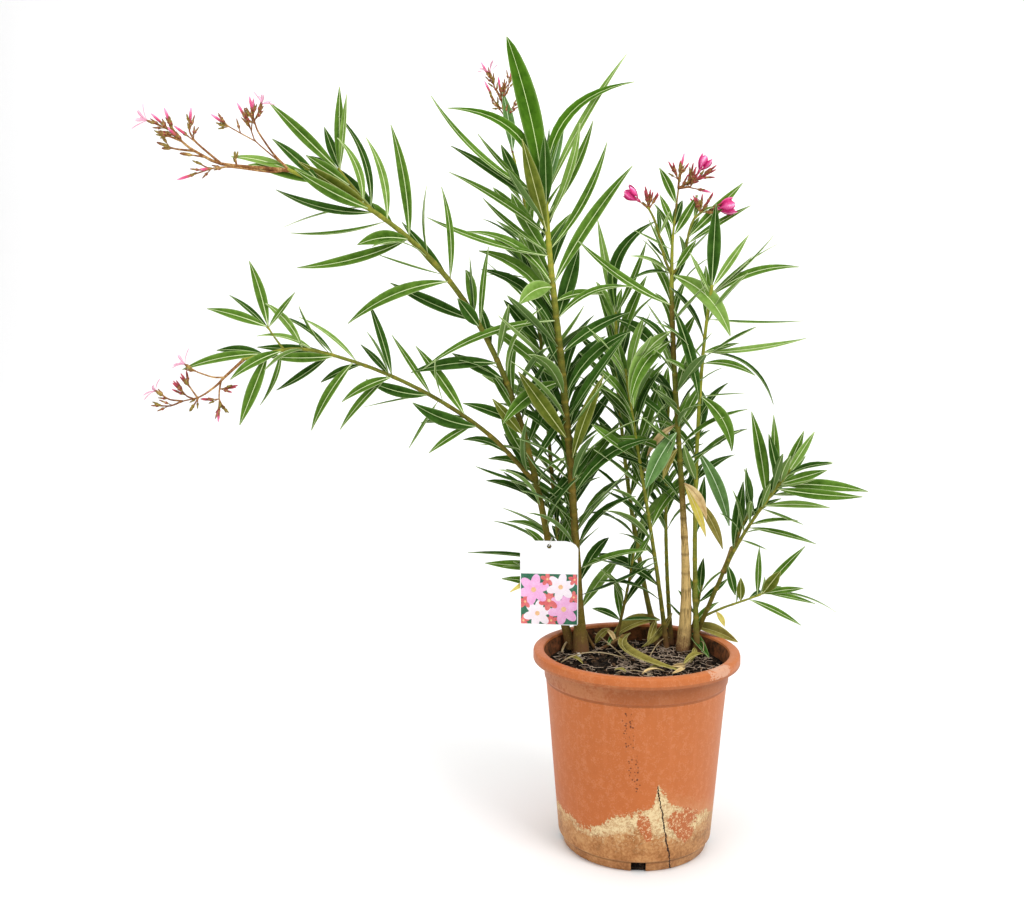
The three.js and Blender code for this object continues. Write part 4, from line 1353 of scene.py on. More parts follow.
def grow_cup(petals, mouth, aim, length, radius, rng):
    """Five broad petals lapped into a half-open cup."""
    side, other = limb_sides(aim)
    for i in range(5):
        turn = 2 * math.pi * i / 5 + rng.uniform(-0.1, 0.1)
        tall = length * rng.uniform(0.9, 1.08)
        made = bmesh.ops.create_grid(petals, x_segments=4, y_segments=6, size=1.0)["verts"]
        spots = {vert: ((vert.co.x + 1) / 2, (vert.co.y + 1) / 2) for vert in made}
        for vert in made:
            share = (vert.co.y + 1) / 2
            spread = 0.72 * (0.3 + 0.7 * smooth(0, 0.5, share)) * (1 - 0.75 * smooth(0.72, 1.05, share))
            angle = turn + vert.co.x * spread
            reach = radius * (0.16 + 0.84 * math.sin(math.pi * min(0.62, 0.66 * share ** 0.85)) ** 1.2)
            reach += 0.5 * MM * vert.co.x
            vert.co = mouth + aim * (share * tall) + between_sides(side, other, angle) * reach
        paint(petals, made, spots, 1 if i % 2 else 2)


def line_of(start, stretches):
    """A bent stalk: from its start through stretches of given lean, bearing and length."""
    points = [start]
    for lean, bearing, length in stretches:
        for _ in range(STALK_STEPS):
            points.append(points[-1] + heading_of(lean, bearing) * length * MM / STALK_STEPS)
    soft = [points[0]]
    for before, here, after in zip(points, points[1:], points[2:]):
        soft.append((before + here * 2 + after) / 4)
    return soft + [points[-1]]


def along_line(points, place):
    """Place and heading on a stalk, counted in its stretches."""
    spot = min(len(points) - 1.001, max(0.0, place * STALK_STEPS))
    i = int(spot)
    return points[i].lerp(points[i + 1], spot - i), (points[i + 1] - points[i]).normalized()


def grow_truss(stalks, stalk_uv, buds, petals, row):
    """The stalks, buds and flowers of one truss."""
    rng = random.Random(f"buds of {row['name']}")
    tip, heading, _ = LIMBS[row["limb"]].at(1.0)
    lines, girths = [], []
    for parent, place, stretches, end, extras in row["stalks"]:
        start = tip - heading * 2 * MM if parent < 0 else along_line(lines[parent], place)[0]
        line = line_of(start, stretches)
        last = len(line) - 1
        thick = row["girth"] if parent < 0 else max(0.75, 0.62 * girths[parent])
        thin = 0.7 + 0.1 * (thick > 1.2)
        radii = [mix(thick, thin, (i / last) ** 0.7) * MM for i in range(last + 1)]
        grow_tube(stalks, stalk_uv, line, radii, [0.35] * (last + 1), 8)
        lines.append(line)
        girths.append(thick)
        spot, aim = along_line(line, len(stretches))
        grow_end(buds, petals, spot, aim, end, rng)
        side, other = limb_sides(aim)
        for i in range(round(extras * BUD_CROWD)):
            turn = 2.4 * i + rng.uniform(0, 1.2)
            out = between_sides(side, other, turn)
            root = along_line(line, len(stretches) - 0.25 - 0.3 * i)[0]
            going = (aim + out * rng.uniform(0.35, 0.7)).normalized()
            stop = root + going * rng.uniform(3, 7) * MM
            grow_tube(stalks, stalk_uv, [root, root.lerp(stop, 0.5), stop], [0.6 * MM] * 3, [0.5] * 3, 6)
            small = {"pink": "brown", "open": "brown", "cup": "red", "bell": "red"}.get(end, end)
            if small != "none":
                grow_end(buds, petals, stop, going, rng.choice((small, small, "olive")), rng)


def bud_material(name, foot, middle, tip):
    """A waxy bud whose colour changes from its foot to its tip."""
    material, tree, shader = new_material(name, 0.5, Specular_IOR_Level=0.12)
    patches = use(tree, MOTTLE, Scale=150.0, Contrast=2.2)
    along = plus(tree, split(tree, "UV")[1], sway(tree, patches, 0.45))
    tones = ramp(tree, along, ((0.0, foot), (0.2, foot), (0.5, middle), (0.95, tip)))
    wire(tree, (tones, shader.inputs["Base Color"]))
    add_relief(tree, shader, use(tree, GRAIN, Scale=800.0, Stretch=0.4), 0.3, 0.0006)
    return material


def petal_material(name, shaded_border, middle, tip):
    """A thin petal, darker along its borders and at its foot as painted shade of the lapped petals, pale at its
    tip as painted highlight.
    """
    material, tree, shader = new_material(name, 0.45, Specular_IOR_Level=0.15)
    across, along, _ = split(tree, "UV")
    patches = use(tree, MOTTLE, Scale=150.0, Contrast=2.0)
    # painted shade along the borders and foot, where lapped petals shade each other, and painted highlight at
    # the pale tip
    inward = minus(tree, 1.0, times(tree, off_middle(tree, across), 2.0))
    both = plus(tree, inward, times(tree, along, 0.5))
    share = times(tree, plus(tree, both, sway(tree, patches, 0.5)), 0.72)
    tones = ramp(tree, share, ((0.0, shaded_border), (0.35, shaded_border), (0.75, middle), (1.0, tip)))
    wire(tree, (tones, shader.inputs["Base Color"]))
    add_relief(tree, shader, use(tree, GRAIN, Scale=500.0), 0.15, 0.0006)
    return material


BLOSSOM_FINISHES = [
    bud_material("bud_green", (0.300, 0.180, 0.045), (0.310, 0.240, 0.054), (0.130, 0.095, 0.020)),
    bud_material("bud_red", (0.390, 0.235, 0.068), (0.160, 0.042, 0.022), (0.520, 0.058, 0.105)),
    bud_material("bud_pink", (0.480, 0.140, 0.090), (0.690, 0.070, 0.210), (0.880, 0.330, 0.520)),
    bud_material("flower_throat", (0.480, 0.050, 0.110), (0.740, 0.180, 0.320), (0.820, 0.300, 0.460)),
    bud_material("bud_brown", (0.600, 0.400, 0.140), (0.260, 0.150, 0.040), (0.210, 0.062, 0.036)),
]
PETAL_FINISHES = [
    petal_material("petal_pale", (0.780, 0.300, 0.460), (0.890, 0.500, 0.640), (0.940, 0.680, 0.790)),
    petal_material("petal_magenta", (0.400, 0.006, 0.085), (0.690, 0.045, 0.230), (0.860, 0.260, 0.480)),
    petal_material("petal_pink", (0.520, 0.012, 0.130), (0.800, 0.120, 0.350), (0.930, 0.500, 0.700)),
]


def truss_pieces():
    """Every truss, its buds and its petals, on stalks that share one piece."""
    stalks = bmesh.new()
    stalk_uv = stalks.loops.layers.uv.new("age")
    for row in TRUSSES:
        buds, petals = bmesh.new(), bmesh.new()
        buds.loops.layers.uv.new("bud")
        petals.loops.layers.uv.new("petal")
        grow_truss(stalks, stalk_uv, buds, petals, row)
        bmesh.ops.remove_doubles(buds, verts=buds.verts, dist=1e-7)
        bmesh.ops.recalc_face_normals(buds, faces=buds.faces)
        make_piece(buds, row["name"], BLOSSOM_FINISHES, row["solids"])
        made = make_piece(petals, f"{row['name']}_petals", PETAL_FINISHES)
        sheet = made.modifiers.new("petal thickness", "SOLIDIFY")
        sheet.thickness = 0.35 * MM
        sheet.offset = 0
    close_tubes(stalks)
    finish = patchy(
        "flower_stalk", (0.125, 0.042, 0.014), (0.520, 0.330, 0.130), 0.6, 70.0, (900.0, 0.3, 0.0006),
        middle=(0.5, (0.270, 0.116, 0.038)), contrast=2.0, stretch=0.3, Specular_IOR_Level=0.1,
    )
    make_piece(stalks, "flower_stalks", [finish])


# -------------------- pot

def curve_of(tree, across, heights):
    """A height that follows a line of points across and up the pot, as a share of STAIN_TOP."""
    stops = tuple(((x + STAIN_HALF) / (2 * STAIN_HALF), z / STAIN_TOP) for x, z in heights)
    return ramp(tree, across, stops)


def oval(tree, x, z, middle, reach):
    """One at the middle of an oval on the pot's front, falling to nought at its edge and below beyond."""
    a = math_node(tree, "DIVIDE", minus(tree, x, middle[0] * MM), reach[0] * MM)
    b = math_node(tree, "DIVIDE", minus(tree, z, middle[1] * MM), reach[1] * MM)
    far = plus(tree, times(tree, a, a), times(tree, b, b))
    return minus(tree, 1.0, far)


def pot_ground(tree, x):
    """The bare plastic: two near tones, paler to the right as painted light, with upright streaks and freckles.
    """
    patches = use(tree, MOTTLE, Scale=9.0, Fine=14.0, Contrast=0.8)
    plain = ramp(tree, patches, ((0.0, (0.420, 0.114, 0.028)), (1.0, (0.520, 0.148, 0.040))))
    # painted light: the plastic grows paler towards the right, the side the key light falls on
    colour = blend(tree, fade(tree, x, -0.02, 0.11, 0.0, 0.35), plain, (0.600, 0.205, 0.070))
    streaks = use(tree, GRAIN, Scale=120.0, Stretch=0.04)
    colour = blend(tree, rise(tree, streaks, 0.52, 1.1), colour, (0.640, 0.240, 0.110))
    freckles = use(tree, MOTTLE, Scale=130.0, Fine=4.0, Contrast=5.0)
    return blend(tree, rise(tree, freckles, 0.93, 2.2), colour, (0.700, 0.330, 0.180))


def tide_line(tree, x, z, ragged, tufts, colour):
    """Soils the pot below its tide line; gives the colour, and how far below it and above the second line."""
    across = plus(tree, times(tree, x, 0.5 / (STAIN_HALF * MM)), 0.5)
    share = times(tree, z, 1 / (STAIN_TOP * MM))
    level = plus(tree, share, sway(tree, ragged, 0.075))
    top, low = curve_of(tree, across, STAIN_UPPER), curve_of(tree, across, STAIN_LOWER)
    under_top, over_low = rise(tree, top, level, 40.0), rise(tree, level, low, 18.0)
    haze = rise(tree, plus(tree, top, 0.14), level, 5.0)
    hazy = times(tree, haze, fade(tree, x, 0.012, 0.06, 0.0, 0.42))
    colour = blend(tree, hazy, colour, (0.620, 0.380, 0.190))
    soiled = use(tree, MOTTLE, Scale=50.0, Fine=6.0, Contrast=2.2)
    dirt = ramp(tree, soiled, (
        (0.0, (0.240, 0.108, 0.032)), (0.45, (0.390, 0.180, 0.062)), (1.0, (0.540, 0.300, 0.118)),
    ))
    colour = blend(tree, times(tree, under_top, 0.85), colour, dirt)
    flecks = above(tree, tufts, 0.78)
    fleck = times(tree, flecks, under_top, rise(tree, level, 0.15, 5.0), 0.7)
    return blend(tree, fleck, colour, (0.640, 0.450, 0.230)), under_top, over_low


def bare_flakes(tree, x, z, front, rag):
    """One where the crust has flaked off the front, nought elsewhere."""
    bare = None
    for middle, reach in BARE_PLACES:
        near = plus(tree, oval(tree, x, z, middle, reach), rag)
        here = math_node(tree, "MULTIPLY", near, 6.0, clamp=True)
        bare = here if bare is None else math_node(tree, "MAXIMUM", bare, here)
    return times(tree, bare, front)


def shade_collar(tree, x, z, colour):
    """Darkens the collar with painted shade and dirt and scuffs it to the left, paints shadow in the band under
    its ledge, and darkens a ring above the foot.
    """
    collar = band(tree, z, COLLAR)
    # painted shade and dirt: the whole collar darkened towards deep brown
    colour = blend(tree, times(tree, collar, 0.45), colour, (0.200, 0.060, 0.022))
    scuff = use(tree, MOTTLE, Scale=34.0, Fine=9.0, Contrast=4.5)
    left = fade(tree, x, 0.0, -0.06, 0.10, 0.30)
    colour = blend(tree, times(tree, collar, scuff, left), colour, (0.620, 0.300, 0.140))
    # painted shadow under the collar's ledge
    colour = blend(tree, times(tree, band(tree, z, LEDGE_SHADE), 0.5), colour, (0.160, 0.050, 0.020))
    return blend(tree, times(tree, band(tree, z, FOOT_RING), 0.5), colour, (0.120, 0.060, 0.018))


def scuff_rim(tree, x, y, z, rag, colour):
    """A pale scuff on the top of the rim, at the right of its front."""
    lime = plus(tree, oval(tree, x, y, *RIM_SCUFF), times(tree, rag, 3.2))
    lime = math_node(tree, "MULTIPLY", lime, 3.0, clamp=True)
    on_rim = above(tree, z, RIM_FROM * MM)
    return blend(tree, times(tree, times(tree, lime, on_rim), 0.45), colour, (0.760, 0.540, 0.400))


def speck_line(tree, x, z, front, colour):
    """A slanting line of dark specks down the front."""
    speck = use(tree, SPECKS, Scale=290.0, Size=0.34)
    gaps = use(tree, MOTTLE, Scale=120.0, Contrast=3.0)
    middle = math_node(tree, "MULTIPLY_ADD", z, -0.13, 3.5 * MM)
    beside = math_node(tree, "ABSOLUTE", minus(tree, x, middle))
    inside = below(tree, beside, SPECK_REACH * MM)
    present = above(tree, gaps, 0.42)
    strip = times(tree, inside, band(tree, z, SPECK_RUN), front, speck, present)
    return blend(tree, times(tree, strip, 0.9), colour, (0.120, 0.034, 0.014))


def crack_line(tree, x, z, front, ragged):
    """One along the fine crack above the foot, nought elsewhere."""
    slant = math_node(tree, "MULTIPLY_ADD", z, 0.175, -35.0 * MM)
    bent = plus(tree, plus(tree, x, slant), sway(tree, ragged, 2.0 * MM))
    near = below(tree, math_node(tree, "ABSOLUTE", bent), CRACK_REACH * MM)
    return times(tree, near, below(tree, z, CRACK_TOP * MM), front)


def pot_material():
    """Terracotta-coloured plastic with a limescale tide line, bare flakes, scuffs, specks and a crack."""
    material, tree, shader = new_material("pot_plastic", 0.5, Specular_IOR_Level=0.18)
    x, y, z = split(tree, "Object")
    front = below(tree, y, 0.0)
    ragged = use(tree, MOTTLE, Scale=70.0, Fine=5.0, Contrast=2.4)
    tufts = use(tree, MOTTLE, Scale=260.0, Fine=3.0, Contrast=4.0)
    rag = sway(tree, ragged, 0.9)
    colour = pot_ground(tree, x)
    colour, under_top, over_low = tide_line(tree, x, z, ragged, tufts, colour)
    bare = bare_flakes(tree, x, z, front, rag)
    colour = blend(tree, times(tree, bare, 0.9), colour, (0.440, 0.120, 0.038))
    rest = times(tree, bare, above(tree, tufts, 0.86))
    colour = blend(tree, rest, colour, (0.700, 0.500, 0.280))
    covered = minus(tree, 1.0, bare)
    thick = math_node(tree, "ADD", times(tree, tufts, 0.9), 0.32, clamp=True)
    crust = times(tree, under_top, over_low, covered, thick)
    colour = blend(tree, crust, colour, (0.760, 0.600, 0.340))
    colour = shade_collar(tree, x, z, colour)
    colour = scuff_rim(tree, x, y, z, rag, colour)
    colour = speck_line(tree, x, z, front, colour)
    crack = crack_line(tree, x, z, front, ragged)
    colour = blend(tree, crack, colour, (0.020, 0.008, 0.005))
    rough = fade(tree, crust, 0.0, 1.0, 0.46, 0.9)
    wire(tree, (colour, shader.inputs["Base Color"]), (rough, shader.inputs["Roughness"]))
    moulded = use(tree, GRAIN, Scale=260.0, Stretch=0.15)
    fine = add_relief(tree, shader, moulded, 0.12, 0.0008)
    fine = add_relief(tree, shader, crust, 0.5, 0.0010, fine)
    add_relief(tree, shader, minus(tree, 1.0, crack), 0.6, 0.001, fine)
    return material


def spin_profile(profile, steps):
    """Turns a profile of radius and height about the middle of the pot."""
    bm = bmesh.new()
    corners = [bm.verts.new((radius * MM, 0, height * MM)) for radius, height in profile]
    edges = [bm.edges.new(pair) for pair in zip(corners, corners[1:])]
    bmesh.ops.spin(bm, geom=corners + edges, cent=(0, 0, 0), axis=(0, 0, 1), angle=2 * math.pi, steps=steps,
                   use_merge=True)
    bmesh.ops.remove_doubles(bm, verts=bm.verts, dist=1e-6)
    bmesh.ops.recalc_face_normals(bm, faces=bm.faces)
    return bm


def notch_blocks(bm, size, middle):
    """One block at each drain notch, its middle given for a notch that faces along x."""
    for i in range(DRAIN_COUNT):
        bearing = DRAIN_BEARING + 2 * math.pi * i / DRAIN_COUNT
        made = bmesh.ops.create_cube(bm, size=1.0)["verts"]
        bmesh.ops.scale(bm, vec=size, verts=made)
        bmesh.ops.translate(bm, vec=middle, verts=made)
        bmesh.ops.rotate(bm, cent=(0, 0, 0), matrix=Matrix.Rotation(bearing, 3, "Z"), verts=made)


def pot_piece():
    """The pot with its drain notches cut through."""
    bm = spin_profile(POT_PROFILE, POT_STEPS)
    for face in bm.faces:
        middle = face.calc_center_median()
        inward = face.normal.x * middle.x + face.normal.y * middle.y < -0.3 * middle.xy.length
        face.material_index = 1 if inward and middle.z < 0.246 else 0
    inside = patchy("pot_inside", (0.045, 0.022, 0.010), (0.260, 0.090, 0.034), 0.85, 30.0, contrast=2.4)
    made = make_piece(bm, "pot_body", [pot_material(), inside], ["pot"])
    blocks = bmesh.new()
    notch_blocks(blocks, DRAIN_SIZE, (DRAIN_OUT, 0, 0))
    cutter = make_object(blocks, "drain_cutter", flat=True)
    cut = made.modifiers.new("drain notches", "BOOLEAN")
    cut.object = cutter
    cut.solver = "EXACT"
    bpy.context.view_layer.update()
    shape = bpy.data.meshes.new_from_object(made.evaluated_get(bpy.context.evaluated_depsgraph_get()))
    made.modifiers.clear()
    made.data = shape
    shape.name = "pot_body"
    shape.set_sharp_from_angle(angle=math.radians(32))
    bpy.data.objects.remove(cutter)


# -------------------- compost

def soil_height(x, y):
    """How far the compost stands above or below its level."""
    broad = noise.noise(Vector((x * 28, y * 28, 3.1)))
    fine = noise.noise(Vector((x * 150, y * 150, 8.4)))
    return (2.2 * broad + 1.6 * fine) * MM


def soil_piece(soil):
    """The compost with an uneven top and a plug behind each drain notch."""
    rim = SOIL_RADIUS / MM
    profile = [*SOIL_SIDE, (rim, 226.5)]
    profile += [(rim * (1 - i / SOIL_RINGS), SOIL_TOP / MM) for i in range(SOIL_RINGS + 1)]
    bm = spin_profile(profile, SOIL_STEPS)
    for vert in bm.verts:
        if vert.co.z > SOIL_TOP - 0.2 * MM:
            out = Vector((vert.co.x, vert.co.y)).length
            vert.co.z += soil_height(vert.co.x, vert.co.y) * smooth(SOIL_RADIUS, SOIL_RADIUS * 0.93, out)
    notch_blocks(bm, PLUG_SIZE, PLUG_MIDDLE)
    make_piece(bm, "compost_surface", [soil], ["compost"])


def clods_piece(soil):
    """Crumbs of compost and bark scattered over the top."""
    rng = random.Random("clods")
    clods = bmesh.new()
    for _ in range(CLODS):
        out, turn = SOIL_RADIUS * math.sqrt(rng.uniform(0, 0.93)), rng.uniform(0, 2 * math.pi)
        x, y = out * math.cos(turn), out * math.sin(turn)
        size = rng.uniform(1.0, 3.4) * MM * (1.5 if rng.random() < 0.08 else 1)
        made = bmesh.ops.create_icosphere(clods, subdivisions=1, radius=size)["verts"]
        squeeze = Vector((rng.uniform(0.7, 1.3), rng.uniform(0.6, 1.1), rng.uniform(0.5, 0.9)))
        spin = Matrix.Rotation(rng.uniform(0, 6.28), 3, (rng.random(), rng.random(), 1.0))
        tone = rng.choices((0, 1, 2), (6, 2, 0.35))[0]
        for vert in made:
            vert.co = spin @ (vert.co * squeeze * rng.uniform(0.8, 1.15))
            vert.co += Vector((x, y, SOIL_TOP + soil_height(x, y) + size * 0.25))
            for face in vert.link_faces:
                face.material_index = tone
    finishes = [
        soil,
        patchy("bark_crumb", (0.050, 0.026, 0.014), (0.150, 0.085, 0.045), 0.9, 200.0),
        patchy("pale_crumb", (0.320, 0.240, 0.150), (0.560, 0.450, 0.320), 0.85, 200.0),
    ]
    make_piece(clods, "compost_clods", finishes, flat=True)


def bent_line(start, middle, end, steps=12):
    """A line through three places, in millimetres."""
    a, b, c = (Vector(place) * MM for place in (start, middle, end))
    through = b * 2 - (a + c) / 2
    shares = [i / steps for i in range(steps + 1)]
    return [a * (1 - t) ** 2 + through * 2 * t * (1 - t) + c * t * t for t in shares]


def threads_piece():
    """Fine root threads on the compost, every fourth in a mat near the middle."""
    rng = random.Random("fibres")
    bm = bmesh.new()
    uv = bm.loops.layers.uv.new("age")
    for number in range(FIBRES):
        matted = number % 4 == 0
        spread = 62 * MM if matted else SOIL_RADIUS
        out, turn = spread * math.sqrt(rng.uniform(0, 0.86)), rng.uniform(0, 2 * math.pi)
        start = Vector((out * math.cos(turn), out * math.sin(turn), SOIL_TOP + 3.0 * MM))
        if matted:
            start += Vector((30, 20, 0)) * MM
        going = rng.uniform(0, 2 * math.pi)
        points = [start]
        bend = rng.uniform(-0.7, 0.7)
        for _ in range(5):
            going += bend + rng.uniform(-0.3, 0.3)
            ahead = Vector((math.cos(going), math.sin(going), rng.uniform(-0.25, 0.25)))
            points.append(points[-1] + ahead * 3.2 * MM)
            if points[-1].xy.length > SOIL_RADIUS * 0.95:
                points[-1].xy *= 0.9
        width = rng.uniform(0.22, 0.46) * MM
        grow_tube(bm, uv, points, [width] * 6, [0.1] * 6, 4)
    close_tubes(bm)
    finish = patchy("root_thread", (0.190, 0.120, 0.076), (0.760, 0.600, 0.460), 0.8, 60.0)
    make_piece(bm, "root_threads", [finish])


def straws_piece():
    """Dry stalks that lie on the compost."""
    straws = bmesh.new()
    uv = straws.loops.layers.uv.new("age")
    for start, middle, end, girth in STRAWS:
        line = bent_line(start, middle, end)
        grow_tube(straws, uv, line, [girth / 2 * MM] * len(line), [0.1] * len(line), 6)
    close_tubes(straws)
    finish = patchy("straw", (0.240, 0.160, 0.070), (0.560, 0.450, 0.280), 0.8, 60.0)
    make_piece(straws, "dry_straws", [finish])


def perlite_piece():
    """One ball of perlite."""
    perlite = bmesh.new()
    made = bmesh.ops.create_icosphere(perlite, subdivisions=2, radius=3.0 * MM)["verts"]
    for vert in made:
        vert.co *= 1 + 0.14 * noise.noise(vert.co * 700)
        vert.co += Vector((-70 * MM, 30 * MM, SOIL_TOP + 3.6 * MM))
    finish = patchy("perlite", (0.62, 0.58, 0.50), (0.86, 0.84, 0.78), 0.9, 300.0)
    make_piece(perlite, "perlite_ball", [finish])


def fallen_piece():
    """Fallen and withered leaves on the compost."""
    rng = random.Random("fallen leaves")
    bm = bmesh.new()
    uv = bm.loops.layers.uv.new("blade")
    for base, tip, width, turned, bow, swing, kind in FALLEN_LEAVES:
        base, tip = Vector(base) * MM, Vector(tip) * MM
        face_to = between_sides(UP, FRONT, math.radians(turned))
        grow_leaf(bm, uv, base, tip - base, face_to, width * MM, bow / 100, kind,
                  fold=0.7, twist=rng.uniform(-0.8, 0.8), swing=swing / 100, blunt=0.4, steps=FINE_ROWS)
    finish_leaves(bm, "fallen_leaves")


# -------------------- label

PRINT_FINISHES = {
    "print_leaf_green": ((0.020, 0.110, 0.060), (0.070, 0.220, 0.130)),
    "print_rose": ((0.640, 0.090, 0.110), (0.800, 0.240, 0.220)),
    "print_pink": ((0.800, 0.330, 0.620), (0.900, 0.560, 0.800)),
    "print_white": ((0.860, 0.740, 0.820), (0.930, 0.880, 0.910)),
    "print_centre": ((0.780, 0.420, 0.200), (0.900, 0.640, 0.360)),
}
# Printed blossoms: middle across and up on the card in millimetres, size, petals and colours.
PRINT_BLOSSOMS = (
    (-20, 46, 20, 6, "print_pink"), (15, 50, 18, 6, "print_white"), (19, 21, 20, 6, "print_pink"),
    (-15, 15, 18, 6, "print_white"), (0, 32, 13, 6, "print_rose"), (-31, 30, 9, 5, "print_rose"),
    (32, 37, 8, 5, "print_rose"), (3, 6, 9, 5, "print_rose"), (-2, 60, 9, 5, "print_rose"),
    (-33, 5, 8, 5, "print_rose"), (33, 60, 8, 5, "print_rose"),
)
PRINT_HALF = 36.4                     # the picture's half width, foot and height in millimetres
PRINT_FOOT = 1
PRINT_TOP = 66


def print_disc(bm, spot, across, out, half, lift, material, turn=0.0):
    """A flat oval of ink, its long side turned from the way across the card."""
    made = bmesh.ops.create_circle(bm, cap_ends=True, segments=14, radius=1.0)["verts"]
    cos, sin = math.cos(turn), math.sin(turn)
    for vert in made:
        a, b = vert.co.x * half[0], vert.co.y * half[1]
        vert.co = spot + across * (a * cos - b * sin) + UP * (a * sin + b * cos) + out * lift
    for face in {face for vert in made for face in vert.link_faces}:
        face.material_index = material


def card_piece():
    """The card itself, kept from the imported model."""
    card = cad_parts["label_card"]
    card.data.materials.clear()
    finish = patchy("label_card", (0.90, 0.90, 0.89), (0.95, 0.95, 0.95), 0.38, 30.0, (500.0, 0.05, 0.0004),
                    contrast=0.8, Specular_IOR_Level=0.5)
    card.data.materials.append(finish)
    return card


def card_front(card):
    """The middle of the card's lower edge, on its front, and the ways across and out of it."""
    front = max(card.data.polygons, key=lambda face: face.area * -face.normal.y)
    out = front.normal.copy()
    across = UP.cross(out).normalized()
    corners = [vert.co for vert in card.data.vertices]
    middle = sum((Vector((co.x, co.y, 0)) for co in corners), Vector()) / len(corners)
    reach = [co.dot(across) for co in corners]
    middle += across * ((max(reach) + min(reach)) / 2 - middle.dot(across))
    face_at = card.data.vertices[front.vertices[0]].co
    middle += out * (face_at - middle).dot(out)
    middle.z = min(co.z for co in corners)
    return middle, across, out


def print_blossom(bm, centre, across, out, size, petals, names, ink):
    """A ring of printed petals, each a little over the one before, round a centre."""
    for i in range(petals):
        angle = 2 * math.pi * i / petals + 0.3
        reach = size * 0.55 * MM
        spot = centre + across * math.cos(angle) * reach + UP * math.sin(angle) * reach
        half, lift = (size * 0.5 * MM, size * 0.3 * MM), (0.10 + 0.012 * i) * MM
        print_disc(bm, spot, across, out, half, lift, names.index(ink), angle)
    print_disc(bm, centre, across, out, (size * 0.17 * MM,) * 2, 0.24 * MM, names.index("print_centre"))


def print_piece(card):
    """The card's picture: simple blossoms on green, cut off along its borders."""
    middle, across, out = card_front(card)
    names = list(PRINT_FINISHES)
    finishes = [patchy(name, *PRINT_FINISHES[name], 0.38, 110.0) for name in names]
    bm = bmesh.new()
    ground = bmesh.ops.create_grid(bm, x_segments=1, y_segments=1, size=1.0)["verts"]
    for vert in ground:
        height = ((vert.co.y + 1) / 2 * PRINT_TOP + PRINT_FOOT) * MM
        vert.co = middle + across * vert.co.x * PRINT_HALF * MM + UP * height + out * 0.04 * MM
    for x, z, size, petals, ink in PRINT_BLOSSOMS:
        print_blossom(bm, middle + across * x * MM + UP * z * MM, across, out, size, petals, names, ink)
    borders = (
        (across, PRINT_HALF), (-across, PRINT_HALF), (-UP, -PRINT_FOOT), (UP, PRINT_TOP + PRINT_FOOT),
    )
    for way, reach in borders:
        bmesh.ops.bisect_plane(bm, geom=bm.verts[:] + bm.edges[:] + bm.faces[:],
                               plane_co=middle + way * reach * MM, plane_no=way, clear_outer=True)
    bmesh.ops.recalc_face_normals(bm, faces=bm.faces)
    for face in bm.faces:
        if face.normal.dot(out) < 0:
            face.normal_flip()
    made = make_piece(bm, "label_print", finishes, flat=True)
    ink = made.modifiers.new("ink", "SOLIDIFY")
    ink.thickness = 0.03 * MM
    ink.offset = -1


def tie_piece():
    """The ring the label hangs on, made rounder."""
    loop = bmesh.new()
    loop.from_mesh(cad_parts["label_loop"].data)
    bmesh.ops.remove_doubles(loop, verts=loop.verts, dist=1e-6)
    finish = patchy("label_loop", (0.78, 0.78, 0.76), (0.88, 0.88, 0.87), 0.3)
    made = make_piece(loop, "label_tie", [finish], ["label_loop"])
    rounder = made.modifiers.new("rounder", "SUBSURF")
    rounder.levels = rounder.render_levels = 1


# -------------------- room

def build_room():
    """A pale floor that curves up into a wall on the far side."""
    bm = bmesh.new()
    made = bmesh.ops.create_grid(bm, x_segments=2, y_segments=FLOOR_ROWS, size=1.0)["verts"]
    for vert in made:
        x, travel = vert.co.x * FLOOR_HALF, (vert.co.y + 1) / 2 * FLOOR_RUN + FLOOR_NEAR
        if travel < WALL_AT:
            vert.co = (x, travel, 0)
        else:
            angle = min(math.pi / 2, (travel - WALL_AT) / FLOOR_CURVE)
            rest = max(0.0, travel - WALL_AT - FLOOR_CURVE * math.pi / 2)
            vert.co = (x, WALL_AT + FLOOR_CURVE * math.sin(angle), FLOOR_CURVE * (1 - math.cos(angle)) + rest)
        vert.co.z -= FLOOR_SINK
    bmesh.ops.recalc_face_normals(bm, faces=bm.faces)
    finish = patchy("floor", tuple(0.985 * c for c in FLOOR_COLOUR), FLOOR_COLOUR, 0.9, 1.5, grain=None,
                    contrast=0.3, Specular_IOR_Level=0.2)
    make_object(bm, "floor", [finish])


def add_light(name, place, aim, size, power, colour=(1, 1, 1)):
    """An area light turned towards its aim."""
    light = bpy.data.lights.new(name, "AREA")
    light.shape = "RECTANGLE"
    light.size, light.size_y = size
    light.energy = power
    light.color = colour
    made = bpy.data.objects.new(name, light)
    made.location = place
    made.rotation_euler = (Vector(aim) - Vector(place)).to_track_quat("-Z", "Y").to_euler()
    bpy.context.scene.collection.objects.link(made)


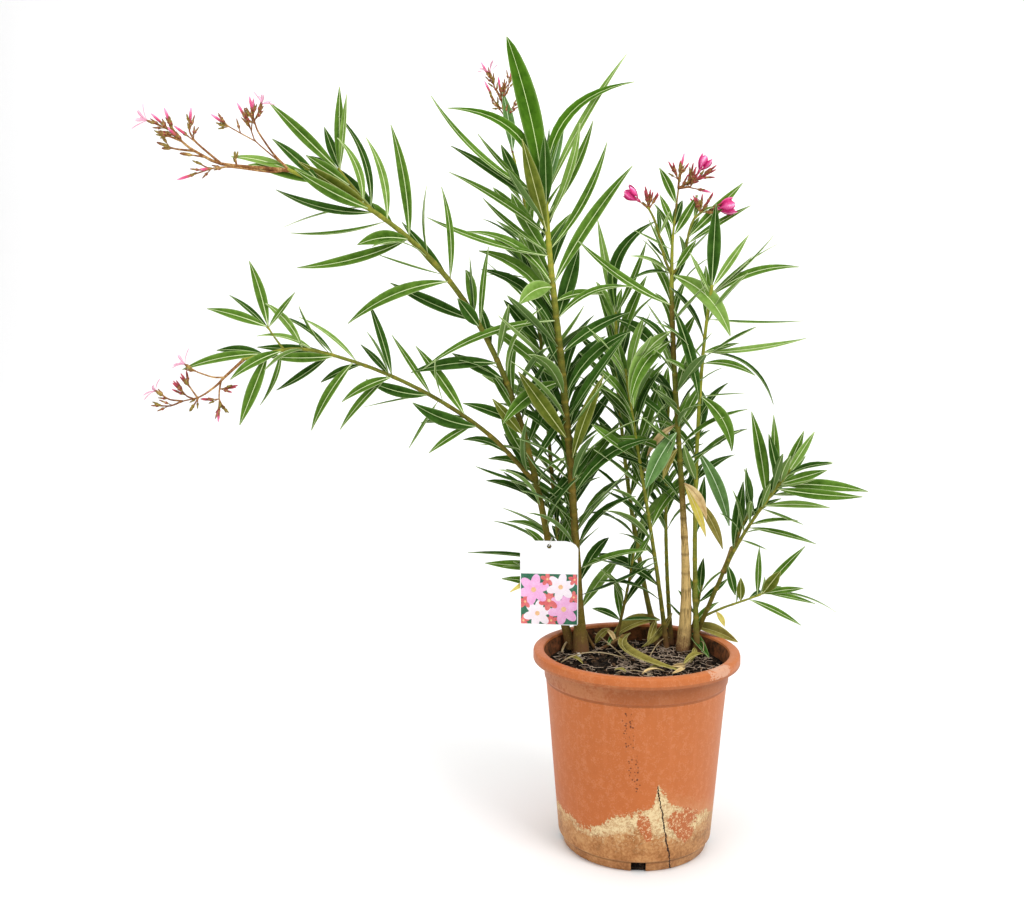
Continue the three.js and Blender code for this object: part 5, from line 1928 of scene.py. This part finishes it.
def build_lights():
    """A bright even room: a pale world, a soft key, and fill from the front, top and wall."""
    world = bpy.data.worlds.new("soft room")
    world.use_nodes = True
    sky = world.node_tree.nodes["Background"]
    sky.inputs["Color"].default_value = (1, 1, 1, 1)
    sky.inputs["Strength"].default_value = 0.62
    bpy.context.scene.world = world
    add_light("key", (1.3, -1.6, 2.2), (-0.1, 0, 0.45), (1.2, 1.2), 34)
    add_light("fill", (-1.6, -1.4, 1.2), (-0.2, 0, 0.5), (1.6, 1.6), 10)
    add_light("top", (0, -0.2, 3.2), (0, -0.2, 0), (3.0, 3.0), 60)
    add_light("wall", (0, 2.2, 3.0), (0, 4.4, 1.4), (4.0, 1.0), 70)


def build_camera():
    """The camera, level but for a slight look down."""
    lens = bpy.data.cameras.new("camera")
    lens.lens = EYE_LENS
    lens.sensor_width = 36
    lens.sensor_fit = "HORIZONTAL"
    camera = bpy.data.objects.new("camera", lens)
    camera.location = EYE
    camera.rotation_euler = (math.pi / 2 - EYE_DOWN, 0, 0)
    bpy.context.scene.collection.objects.link(camera)
    bpy.context.scene.camera = camera


# -------------------- the whole plant

LEAF_PIECES = (
    ("leaves_tall", ["stem_tall", "shoot_behind_tall"], "foliage_tall"),
    ("leaves_high_arch", ["stem_high_arch", "shoot_high_spray"], "foliage_arch"),
    ("leaves_low_arch", ["bough_low_arch", "shoot_low_spray"], "foliage_low_"),
    ("leaves_back", ["stem_back"], "foliage_back"),
    (
        "leaves_flowering",
        ["stem_flowering", "bough_flowering_left", "bough_flowering_right"],
        "foliage_flowering",
    ),
    ("leaves_right", ["stem_right", "shoot_right_low"], "foliage_right"),
    ("leaves_inner", ["stem_inner_back", "stem_inner"], "foliage_inner"),
    ("leaves_rear_right", ["stem_rear_right"], "foliage_rear"),
    ("leaves_side", ["stem_side", "shoot_side_fork"], "foliage_side"),
    ("leaves_lowest", ["stem_lowest"], "foliage_lowest"),
    ("leaves_basal", ["stem_basal"], "foliage_basal"),
)

build_camera()
build_lights()
build_room()
bpy.context.scene.view_settings.view_transform = "Standard"

pot_piece()
compost = patchy("compost", (0.003, 0.002, 0.0015), (0.062, 0.038, 0.024), 0.95, 120.0, (700.0, 1.0, 0.002),
                 middle=(0.6, (0.014, 0.009, 0.006)), fine=5.0, contrast=3.0, Specular_IOR_Level=0.1)
soil_piece(compost)
clods_piece(compost)
threads_piece()
straws_piece()
perlite_piece()
fallen_piece()
for limb_name in BARK_AGE:
    limb_piece(limb_name)
shoots_piece()
for piece_name, limbs, prefix in LEAF_PIECES:
    leaf_piece(piece_name, limbs, [name for name in MASSES if name.startswith(prefix)])
truss_pieces()
print_piece(card_piece())
tie_piece()
